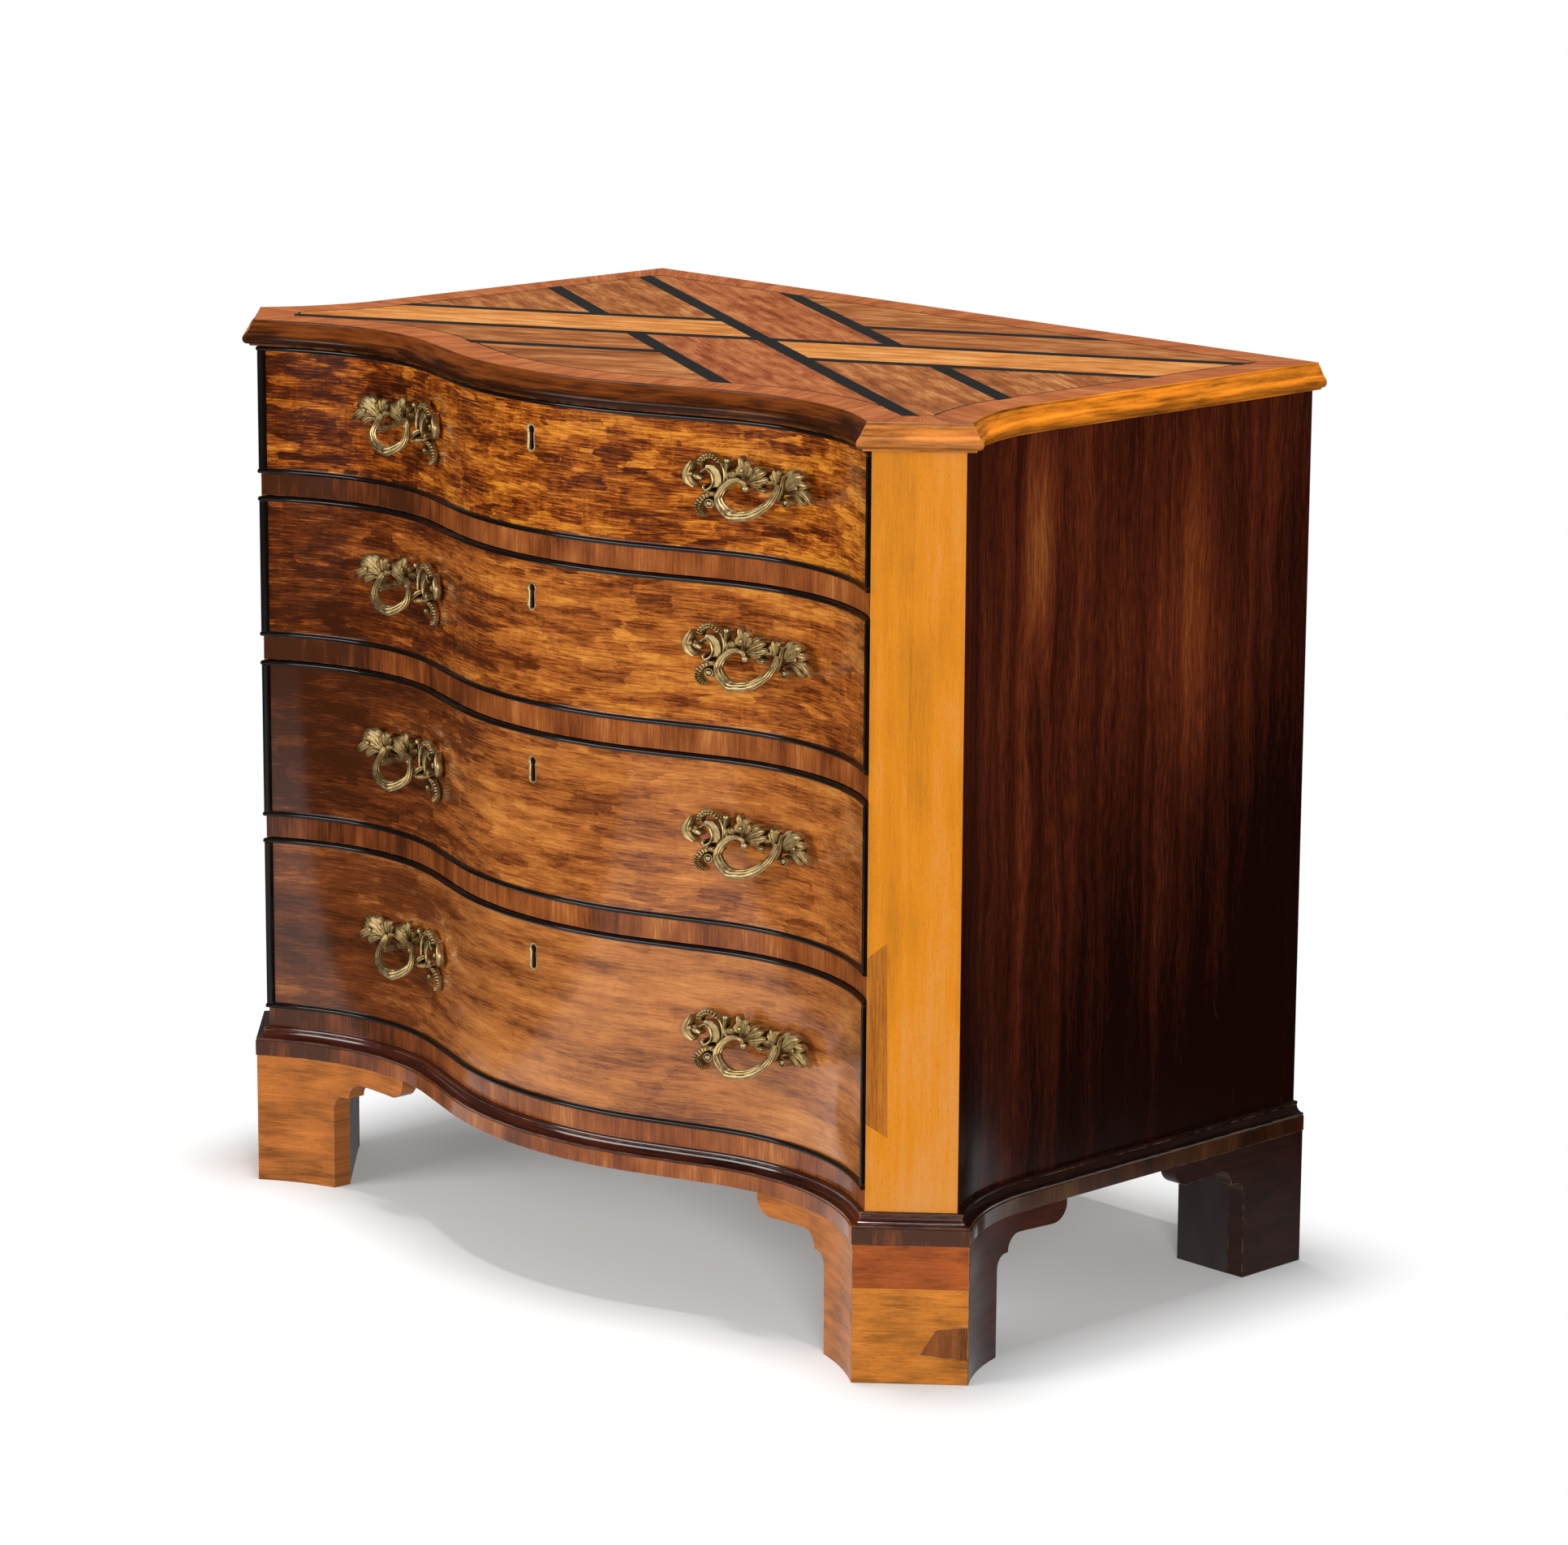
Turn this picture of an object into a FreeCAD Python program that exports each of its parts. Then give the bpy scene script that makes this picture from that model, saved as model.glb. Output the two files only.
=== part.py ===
"""Serpentine commode: four long drawers, canted corner posts, bracket feet.

The plan is drawn with x = 0 in the middle and y = 0 at the front edge of the corner posts.
One serpentine curve drives the drawer fronts, beads, blades, mouldings, plinth and feet: every one
of them is a parallel of that curve. Each piece is moved back by half the overall depth when it is
saved, so that the origin lies on the floor under the middle of the whole. Millimetres, +Z up.
"""
import FreeCAD, Part
import math
import os
from FreeCAD import Vector

# Plan of the carcase
CORNER_X = 410.0          # half the width between the front edges of the corner posts
CANT_RUN = 59.0           # the canted face goes this far outward
CANT_DEPTH = 54.5         # and this far back
SIDE_INSET = 38.0         # straight part of the side, inside the outer edge of the cant
FLARE_RADIUS = 195.0      # hollow curve of the side behind the cant
FRONT_BOW = 19.0          # the middle of the front stands ahead of the corners
HOLLOW_DEPTH = 42.3       # the hollows lie behind the corners
HOLLOW_INSET = 136.0      # deepest point of a hollow, inward from the corner
STRAIGHT_RUN = 69.0       # straight run between the bow and a hollow
CARCASE_DEPTH = 534.0     # from the corner to the back

# Heights, from the floor up and from the top drawer down
FOOT_HEIGHT = 125.0
BAND_HEIGHT = 14.5
BASE_MOULDING_HEIGHT = 12.0
RAIL_SHOWS = 18.5
DRAWER_HEIGHTS = (122.5, 136.0, 153.5, 169.5)
BLADE_HEIGHTS = (20.5, 22.0, 20.0)
TOP_THICK = 24.0

# Overhangs, measured square to the carcase faces
TOP_OVERHANG = 15.0
TOP_PANEL_OVERHANG = 7.0
TOP_BACK_OVERHANG = 2.0
BAND_OVERHANG = 13.0
FOOT_SETBACK = 1.0
MITRE_GAP = 0.1           # glue line at each mitre
MOULDING_LIP = 0.6        # least thickness of the top moulding
BASE_FILLET = 2.5         # fillets above and below the hollow of the base moulding

# Board thicknesses inside the carcase
BACK_THICK = 12.0
BACK_REBATE = 10.0
BACK_BOARD_COUNT = 4
RAIL_THICK = 24.0
BOTTOM_THICK = 18.0
BLADE_BACK = 110.0
RUNNER_WIDTH = 28.0
DUST_THICK = 8.0
STOP_WIDTH = 26.0
STOP_LENGTH = 20.0
STOP_HEIGHT = 4.0
STOP_GAP = 0.3

# Bracket feet
BRACKET_THICK = 18.0
LEG_WIDTH = 72.0
REAR_LEG_WIDTH = 80.0
WING_REACH = 94.0         # from the leg's inner edge to the wing's end
LEG_ROUND = 12.0          # rounding at the top of the leg
CUSP_STEP = 5.0
SCOOP_RADIUS = 15.0
SOFFIT_HEIGHT = 107.0
WING_DROP = 2.0           # the wing's end under its soffit
WING_ROUND = 17.0
BRACKET_TURN = 23.0       # degrees of a bracket's curve to a chord
REAR_LEG_INWARD = 62.0
REAR_BRACKET_REACH = 150.0
CUT_SPARE = 1.0           # a cutter goes this far past its board

# Inlay of the top
CROSSBAND_WIDTH = 38.0
BAND_WIDTH = 16.0
INLAY_DEPTH = 2.0
BAND_SLOPE = 0.537        # rise of the diagonals, depth over width
BAND_SPACING = 120.0      # from a diagonal to its parallel, along y

# Drawers
SIDE_GAP = 0.6
BOTTOM_GAP = 0.5
TOP_GAP = 1.0
FRONT_THICK = 22.0
BLOCK_COUNT = 17          # upright blocks glued side by side to a front, with flat backs
BEAD_THICK = 3.0
BEAD_PROUD = 3.0
BOX_SIDE_THICK = 11.0
BOX_BACK_THICK = 10.0
BOX_BACK_GAP = 15.0       # behind the drawer, to the back boards
SIDE_DROP = 10.0          # the drawer sides stop this far under the opening's top
BACK_DROP = 24.0
BOTTOM_RISE = 8.0
DRAWER_BOTTOM_THICK = 6.0
BOTTOM_GROOVE = 4.0

# Locks and keyholes
LOCK_WIDTH = 60.0
LOCK_HEIGHT = 55.0
LOCK_SETBACK = 11.0       # behind the face of the front
BOLT_WIDTH = 28.0
BOLT_THICK = 7.0
BOLT_HEIGHT = 18.0
BOLT_SETBACK = 13.0
BOLT_CLEAR = 0.3
MORTISE_DEPTH = 8.0
MORTISE_CLEAR = 1.5
KEYHOLE_DROP = 37.5       # keyhole's middle under the opening's top
KEYHOLE_HEAD = 4.8
KEYHOLE_HEAD_RISE = 7.7
KEYHOLE_WAIST = 3.2
KEYHOLE_BASE = 4.4
KEYHOLE_FOOT = 12.5
ESCUTCHEON_WALL = 1.1
ESCUTCHEON_DEPTH = 3.0
ESCUTCHEON_PROUD = 0.4

# Cast pulls
PULL_UNIT = 1.0           # size of one unit of the pulls' drawing
HANDLE_X = 236.0
HANDLE_GAP = 0.2
HANDLE_REACH = 80.0       # a little more than half the pull's width
SHELL_FACETS = 4
CHORD_TURN = 60.0         # degrees of a pull's or keyhole's curve to a chord
PANEL_HEIGHT = 2.6
RELIEF_HEIGHT = 5.0
LOOP_RADIUS = 4.0
LOOP_SIDES = 6
LOOP_BARS = 3             # straight bars to each arc of the grip
LOOP_HEADING = 170.0      # degrees, in which the grip starts
LOOP_STANDOFF = 8.6       # middle of the loop's bar, ahead of the front
LOOP_TILT = 9.0           # degrees, so that its lower side stands further out

# Worked out from the above
HOLLOW_X = CORNER_X - HOLLOW_INSET
HOLLOW_RADIUS = (HOLLOW_INSET ** 2 + HOLLOW_DEPTH ** 2) / (2 * HOLLOW_DEPTH)
SWING = FRONT_BOW + HOLLOW_DEPTH
BOW_RADIUS = (HOLLOW_X ** 2 + SWING ** 2 - STRAIGHT_RUN ** 2) / (2 * SWING) - HOLLOW_RADIUS
BOW_CENTRE = (0.0, BOW_RADIUS - FRONT_BOW)
HOLLOW_CENTRE = (HOLLOW_X, HOLLOW_DEPTH - HOLLOW_RADIUS)
CENTRE_ANGLE = math.atan2(HOLLOW_CENTRE[1] - BOW_CENTRE[1], HOLLOW_X)
RUN_SLOPE = CENTRE_ANGLE + math.atan2(BOW_RADIUS + HOLLOW_RADIUS, STRAIGHT_RUN)
CANT_LENGTH = math.hypot(CANT_RUN, CANT_DEPTH)
CANT_NORMAL = (CANT_DEPTH / CANT_LENGTH, -CANT_RUN / CANT_LENGTH)
CORNER_A = (CORNER_X, 0.0)
CORNER_B = (CORNER_X + CANT_RUN, CANT_DEPTH)
SIDE_X = CORNER_B[0] - SIDE_INSET
FLARE_END = CANT_DEPTH + math.sqrt(FLARE_RADIUS ** 2 - (FLARE_RADIUS - SIDE_INSET) ** 2)
FLARE_CENTRE = (SIDE_X + FLARE_RADIUS, FLARE_END)
BAND_TOP = FOOT_HEIGHT + BAND_HEIGHT
RAIL_TOP = BAND_TOP + BASE_MOULDING_HEIGHT + RAIL_SHOWS
CARCASE_TOP = RAIL_TOP + sum(DRAWER_HEIGHTS) + sum(BLADE_HEIGHTS)
TOP_Z = CARCASE_TOP + TOP_THICK
TOP_BACK = CARCASE_DEPTH + TOP_BACK_OVERHANG
INNER_BACK = CARCASE_DEPTH - BACK_THICK
FOOT_OVERHANG = BAND_OVERHANG - FOOT_SETBACK
BOX_BACK = INNER_BACK - BOX_BACK_GAP
FRONT_HALF = CORNER_X - SIDE_GAP
FIELD_OFFSET = TOP_PANEL_OVERHANG - CROSSBAND_WIDTH
BLOCK_HALF = FRONT_HALF - BEAD_THICK
ORIGIN_SHIFT = (FRONT_BOW + TOP_OVERHANG - TOP_BACK) / 2


def opening(number):
    """Bottom and top of the opening of drawer 1 to 4, counted from the top."""
    top = CARCASE_TOP - sum(DRAWER_HEIGHTS[:number - 1]) - sum(BLADE_HEIGHTS[:number - 1])
    return top - DRAWER_HEIGHTS[number - 1], top


# Parallels of the plan: a positive offset lies outside the carcase
def along(point, direction, distance):
    return (point[0] + direction[0] * distance, point[1] + direction[1] * distance)


def on_circle(centre, radius, angle):
    return (centre[0] + radius * math.cos(angle), centre[1] + radius * math.sin(angle))


def cant_meets(centre, radius, offset, near):
    """Where the cant's parallel crosses a circle, at the crossing nearer to a point."""
    start = along(CORNER_A, CANT_NORMAL, offset)
    direction = (-CANT_NORMAL[1], CANT_NORMAL[0])
    to_start = (start[0] - centre[0], start[1] - centre[1])
    half = to_start[0] * direction[0] + to_start[1] * direction[1]
    root = math.sqrt(half ** 2 - to_start[0] ** 2 - to_start[1] ** 2 + radius ** 2)
    crossings = [along(start, direction, -half - root), along(start, direction, -half + root)]
    return min(crossings, key=lambda p: math.dist(p, near))


def corner_a(offset):
    return cant_meets(HOLLOW_CENTRE, HOLLOW_RADIUS - offset, offset, CORNER_A)


def corner_b(offset):
    return cant_meets(FLARE_CENTRE, FLARE_RADIUS - offset, offset, CORNER_B)


def run_normal():
    return (math.sin(RUN_SLOPE), -math.cos(RUN_SLOPE))


def run_start(offset):
    return along(BOW_CENTRE, run_normal(), BOW_RADIUS + offset)


def run_end(offset):
    return along(HOLLOW_CENTRE, run_normal(), offset - HOLLOW_RADIUS)


def on_hollow(x, offset):
    """Point of the hollow's parallel at a given x."""
    radius = HOLLOW_RADIUS - offset
    return (x, HOLLOW_CENTRE[1] + math.sqrt(radius ** 2 - (x - HOLLOW_X) ** 2))


def front_y(x, offset=0.0):
    """The front's parallel, as y for any x."""
    x = abs(x)
    if x <= run_start(offset)[0]:
        return BOW_CENTRE[1] - math.sqrt((BOW_RADIUS + offset) ** 2 - x ** 2)
    if x >= run_end(offset)[0]:
        return on_hollow(x, offset)[1]
    return run_start(offset)[1] + (x - run_start(offset)[0]) * math.tan(RUN_SLOPE)


def arc_between(centre, start, end):
    """Arc about a centre, the short way round, as start, middle and end."""
    radius = math.dist(centre, start)
    middle = ((start[0] + end[0]) / 2 - centre[0], (start[1] + end[1]) / 2 - centre[1])
    return ("arc", start, on_circle(centre, radius, math.atan2(middle[1], middle[0])), end)


def mirrored(segments):
    """The same stretch on the other side of x = 0, run the other way."""
    return [(s[0],) + tuple((-p[0], p[1]) for p in reversed(s[1:])) for s in reversed(segments)]


def reverse(segments):
    return [(s[0],) + tuple(reversed(s[1:])) for s in reversed(segments)]


def half_front(offset, half_width=None):
    """Run and hollow of the right half, out to a half width or else to the corner."""
    end = corner_a(offset) if half_width is None else on_hollow(half_width, offset)
    run = ("line", run_start(offset), run_end(offset))
    return [run, arc_between(HOLLOW_CENTRE, run_end(offset), end)]


def front_path(offset, half_width=None):
    """The whole serpentine, from left to right."""
    right = half_front(offset, half_width)
    start = run_start(offset)
    bow = ("arc", (-start[0], start[1]), (0.0, -FRONT_BOW - offset), start)
    return mirrored(right) + [bow] + right


def side_path(offset, back):
    """The right side, from its front corner to the back."""
    flare_end = (SIDE_X + offset, FLARE_END)
    flare = arc_between(FLARE_CENTRE, corner_b(offset), flare_end)
    return [flare, ("line", flare_end, (SIDE_X + offset, back))]


def closed(*stretches):
    """Joins stretches end to end with straight lines into a closed outline."""
    outline = []
    for stretch in stretches:
        if outline and math.dist(outline[-1][-1], stretch[0][1]) > 1e-6:
            outline.append(("line", outline[-1][-1], stretch[0][1]))
        outline += stretch
    if math.dist(outline[-1][-1], outline[0][1]) > 1e-6:
        outline.append(("line", outline[-1][-1], outline[0][1]))
    return outline


def polygon(*points):
    return [("line", p, q) for p, q in zip(points, points[1:] + points[:1])]


def box_outline(x0, x1, y0, y1):
    return polygon((x0, y0), (x1, y0), (x1, y1), (x0, y1))


def chorded(outline, step):
    """Points along an outline, with chords in place of its arcs, one to each so many degrees."""
    points = []
    for segment in outline:
        points.append(segment[1])
        if segment[0] == "arc":
            start, end = Vector(*segment[1], 0), Vector(*segment[3], 0)
            edge = Part.Arc(start, Vector(*segment[2], 0), end).toShape()
            turn = math.degrees(edge.LastParameter - edge.FirstParameter)
            inside = edge.discretize(Number=max(2, math.ceil(turn / step)) + 1)[1:-1]
            if inside[0].distanceToPoint(start) > inside[0].distanceToPoint(end):
                inside.reverse()
            points += [(p.x, p.y) for p in inside]
    return points


# From outlines to solids
def wire(outline, z):
    edges = []
    for segment in outline:
        points = [Vector(p[0], p[1], z) for p in segment[1:]]
        curve = Part.LineSegment(*points) if segment[0] == "line" else Part.Arc(*points)
        edges.append(curve.toShape())
    return Part.Wire(edges)


def prism(outline, z0, z1):
    return Part.Face(wire(outline, z0)).extrude(Vector(0, 0, z1 - z0))


def upright_prism(outline, y0, y1):
    """Outline drawn in x and z, extruded back from y0 to y1."""
    solid = prism(outline, 0.0, y1 - y0)
    solid.rotate(Vector(0, 0, 0), Vector(1, 0, 0), 90)
    solid.translate(Vector(0, y1, 0))
    return solid


def box(x0, x1, y0, y1, z0, z1):
    return Part.makeBox(x1 - x0, y1 - y0, z1 - z0, Vector(x0, y0, z0))


def mirror_x(shape):
    return shape.mirror(Vector(0, 0, 0), Vector(1, 0, 0))


def both_sides(shape):
    return [shape, mirror_x(shape)]


def front_slab(outer, inner, half_width, z0, z1):
    """A board that follows the serpentine between two parallels."""
    outline = closed(front_path(outer, half_width), reverse(front_path(inner, half_width)))
    return prism(outline, z0, z1)


def front_ring(outer, inner):
    return closed(front_path(outer), reverse(front_path(inner)))


def cant_ring(outer, inner):
    """The cant's piece of a run, short of both mitres by the glue line."""
    along_cant = (-CANT_NORMAL[1], CANT_NORMAL[0])
    front = [along(corner_a(offset), along_cant, MITRE_GAP) for offset in (outer, inner)]
    rear = [along(corner_b(offset), along_cant, -MITRE_GAP) for offset in (inner, outer)]
    return polygon(front[0], rear[1], rear[0], front[1])


def side_ring(outer, inner, back):
    return closed(side_path(outer, back), reverse(side_path(inner, back)))


def front_fill(outer, inner):
    """The front's piece of a run, mitred to an inner parallel and filled in behind it."""
    corner = corner_a(inner)
    deep = (corner[0], BLADE_BACK)
    behind = [("line", corner, deep), ("line", deep, (-deep[0], deep[1])),
              ("line", (-deep[0], deep[1]), (-corner[0], corner[1]))]
    return closed(front_path(outer), behind)


def side_fill(outer, inner, back):
    corner = corner_b(inner)
    behind = [("line", (CORNER_X, back), (CORNER_X, corner[1])), ("line", (CORNER_X, corner[1]), corner)]
    return closed(side_path(outer, back), behind)


def mitred_run(levels, inner, back):
    """Moulding round front, cants and sides: levels are (offset, z) pairs from the bottom up."""
    core = prism(top_outline(inner, back), levels[0][1], levels[-1][1])

    def piece(ring):
        return Part.makeLoft([wire(ring(offset), z) for offset, z in levels], True, True)
    front = piece(lambda offset: front_fill(offset, inner)).cut(core)
    cant = piece(lambda offset: cant_ring(offset, inner))
    side = piece(lambda offset: side_fill(offset, inner, back)).cut(core)
    return [front] + both_sides(cant) + both_sides(side)


def save(name, solids):
    """Moves the solids so that the origin is under the middle, and writes one file."""
    solids = solids if isinstance(solids, list) else [solids]
    moved = []
    for solid in solids:
        for single in solid.removeSplitter().Solids:
            single.translate(Vector(0, ORIGIN_SHIFT, 0))
            moved.append(single)
    shape = moved[0] if len(moved) == 1 else Part.makeCompound(moved)
    shape.exportStep(os.path.join("parts", name + ".step"))


# Top
def top_outline(offset, back):
    right = [("line", corner_a(offset), corner_b(offset))] + side_path(offset, back)
    return closed(front_path(offset), right, mirrored(right))


def diagonal(sign, shift, x0, x1):
    """Ebony band along one diagonal or its parallel, from x0 to x1, longer than needed."""
    middle = (TOP_BACK - TOP_PANEL_OVERHANG) / 2
    half = BAND_WIDTH / 2 * math.hypot(1, BAND_SLOPE)
    centre = [(x, middle + shift + sign * BAND_SLOPE * x) for x in (x0, x1)]
    lower = [(x, y - half) for x, y in centre]
    upper = [(x, y + half) for x, y in centre]
    return prism(polygon(lower[0], lower[1], upper[1], upper[0]), TOP_Z - INLAY_DEPTH, TOP_Z)


def crossing(sign, shift, other_shift):
    """x where a band meets the band of the other diagonal."""
    return sign * (other_shift - shift) / (2 * BAND_SLOPE)


def top_inlay():
    """A pinwheel of bands: both diagonals, and four parallels that end on one another."""
    reach = CORNER_B[0]
    gap = BAND_SPACING
    bands = [diagonal(1, 0, -reach, reach), diagonal(-1, 0, -reach, reach)]
    bands.append(diagonal(1, gap, -reach, crossing(1, gap, 0)))
    bands.append(diagonal(-1, -gap, -reach, crossing(-1, -gap, gap)))
    bands.append(diagonal(-1, gap, -reach, crossing(-1, gap, 0)))
    bands.append(diagonal(1, gap, crossing(1, gap, gap), reach))
    bands.append(diagonal(1, -gap, crossing(1, -gap, 0), reach))
    bands.append(diagonal(-1, gap, crossing(-1, gap, -gap), reach))
    bands.append(diagonal(-1, -gap, crossing(-1, -gap, 0), reach))
    bands.append(diagonal(1, -gap, -reach, crossing(1, -gap, -gap)))
    field = prism(top_outline(FIELD_OFFSET, TOP_BACK - CROSSBAND_WIDTH), TOP_Z - INLAY_DEPTH, TOP_Z)
    return bands[0].fuse(bands[1:]).common(field)


def top_moulding_levels():
    """Rounded nose, hollow and thumb, as shares of the overhang and height, from the underside up."""
    height = TOP_Z - CARCASE_TOP
    reach = TOP_OVERHANG - TOP_PANEL_OVERHANG - MOULDING_LIP
    shares = [(0.6, 0.0), (1.0, 0.12), (1.0, 0.45), (0.5, 0.66), (0.0, 1.0)]
    base = TOP_PANEL_OVERHANG + MOULDING_LIP
    return [(base + reach * out, CARCASE_TOP + height * up) for out, up in shares]


def make_top():
    inlay = top_inlay()
    leaf = prism(top_outline(TOP_PANEL_OVERHANG, TOP_BACK), CARCASE_TOP, TOP_Z)
    save("top_panel", leaf.cut([inlay, bolt_mortise(1)]))
    save("top_inlay", inlay)
    save("top_edge_moulding", mitred_run(top_moulding_levels(), TOP_PANEL_OVERHANG, TOP_BACK))


# Carcase
def make_carcase():
    inner = CORNER_X
    rebate = inner + BACK_REBATE
    side = closed(side_path(0.0, CARCASE_DEPTH),
                  [("line", (rebate, CARCASE_DEPTH), (rebate, INNER_BACK)),
                   ("line", (rebate, INNER_BACK), (inner, INNER_BACK)),
                   ("line", (inner, INNER_BACK), (inner, CANT_DEPTH))])
    right, left = both_sides(prism(side, FOOT_HEIGHT, CARCASE_TOP))
    save("side_right", right)
    save("side_left", left)
    post = prism(polygon(CORNER_A, CORNER_B, (inner, CANT_DEPTH)), FOOT_HEIGHT, CARCASE_TOP)
    right, left = both_sides(post)
    save("corner_post_right", right)
    save("corner_post_left", left)
    height = (CARCASE_TOP - FOOT_HEIGHT) / BACK_BOARD_COUNT
    levels = [FOOT_HEIGHT + height * i for i in range(BACK_BOARD_COUNT)]
    save("back_boards", [box(-rebate, rebate, INNER_BACK, CARCASE_DEPTH, z, z + height) for z in levels])
    floor = closed(front_path(-RAIL_THICK, inner), [("line", (inner, INNER_BACK), (-inner, INNER_BACK))])
    save("bottom_board", prism(floor, RAIL_TOP - BOTTOM_THICK, RAIL_TOP))
    save("bottom_rail", front_slab(0.0, -RAIL_THICK, inner, FOOT_HEIGHT, RAIL_TOP))


def make_blades():
    dust = []
    runners = []
    for number in (1, 2, 3):
        top = opening(number)[0]
        bottom = opening(number + 1)[1]
        outline = closed(front_path(0.0, CORNER_X),
                         [("line", (CORNER_X, BLADE_BACK), (-CORNER_X, BLADE_BACK))])
        save("drawer_blade_%d" % number, prism(outline, bottom, top).cut(bolt_mortise(number + 1)))
        runner_x = CORNER_X - RUNNER_WIDTH
        runners += both_sides(box(runner_x, CORNER_X, BLADE_BACK, INNER_BACK, bottom, top))
        middle = (top + bottom) / 2
        dust.append(box(-runner_x, runner_x, BLADE_BACK, INNER_BACK,
                        middle - DUST_THICK / 2, middle + DUST_THICK / 2))
    save("drawer_runners", runners)
    save("dust_boards", dust)
    stop_x = (HOLLOW_X - STOP_WIDTH / 2, HOLLOW_X + STOP_WIDTH / 2)
    stop_y = max(y for x, y in back_line(*stop_x)) + STOP_GAP
    stops = []
    for number in (1, 2, 3, 4):
        z = opening(number)[0]
        stops += both_sides(box(*stop_x, stop_y, stop_y + STOP_LENGTH, z, z + STOP_HEIGHT))
    save("drawer_stops", stops)


# Base
def base_moulding_levels():
    """Fillet, hollow and fillet, from the bottom up."""
    low = BAND_TOP + BASE_FILLET
    high = BAND_TOP + BASE_MOULDING_HEIGHT - BASE_FILLET
    edge = BAND_OVERHANG - FOOT_SETBACK
    hollow = edge - 2 * BASE_FILLET
    levels = [(edge, BAND_TOP), (edge, low)]
    for turn in (45.0, 90.0):
        angle = math.radians(turn)
        levels.append((edge - hollow * math.sin(angle), high - (high - low) * math.cos(angle)))
    return levels + [(edge - hollow, BAND_TOP + BASE_MOULDING_HEIGHT)]


def bracket_outline(corner, leg):
    """Leg, rounded cusp, scoop and wing, drawn inward from the corner, as distance and height."""
    edge = corner - leg
    leg_top = SOFFIT_HEIGHT - SCOOP_RADIUS - LEG_ROUND
    cusp = edge - LEG_ROUND - CUSP_STEP
    scoop_end = cusp - SCOOP_RADIUS
    end = edge - WING_REACH
    wing_low = SOFFIT_HEIGHT - WING_DROP
    half = math.sqrt(0.5)
    round_mid = (edge - LEG_ROUND * (1 - half), leg_top + LEG_ROUND * half)
    scoop_mid = (cusp - SCOOP_RADIUS * (1 - half), SOFFIT_HEIGHT - SCOOP_RADIUS * (1 - half))
    wing_mid = (end + WING_ROUND * (1 - half), wing_low + WING_ROUND * (1 - half))
    return [("line", (corner, FOOT_HEIGHT), (corner, 0.0)),
            ("line", (corner, 0.0), (edge, 0.0)),
            ("line", (edge, 0.0), (edge, leg_top)),
            ("arc", (edge, leg_top), round_mid, (edge - LEG_ROUND, leg_top + LEG_ROUND)),
            ("line", (edge - LEG_ROUND, leg_top + LEG_ROUND), (cusp, leg_top + LEG_ROUND)),
            ("arc", (cusp, leg_top + LEG_ROUND), scoop_mid, (scoop_end, SOFFIT_HEIGHT)),
            ("line", (scoop_end, SOFFIT_HEIGHT), (end + WING_ROUND, wing_low)),
            ("arc", (end + WING_ROUND, wing_low), wing_mid, (end, wing_low + WING_ROUND)),
            ("line", (end, wing_low + WING_ROUND), (end, FOOT_HEIGHT)),
            ("line", (end, FOOT_HEIGHT), (corner, FOOT_HEIGHT))]


def side_bracket(outline):
    """Outline drawn with y as its distance, common with the board that follows the side."""
    reach = corner_b(FOOT_OVERHANG)[0] + CUT_SPARE
    cutter = upright_prism(polygon(*chorded(outline, BRACKET_TURN)), 0.0, reach)
    cutter.rotate(Vector(0, 0, 0), Vector(0, 0, 1), 90)
    cutter.translate(Vector(reach, 0, 0))
    board = prism(side_ring(FOOT_OVERHANG, FOOT_OVERHANG - BRACKET_THICK, CARCASE_DEPTH), 0.0, FOOT_HEIGHT)
    return board.common(cutter)


def flipped(outline, about):
    """The same outline turned to run the other way from a line."""
    return [(s[0],) + tuple((2 * about - p[0], p[1]) for p in s[1:]) for s in outline]


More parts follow.
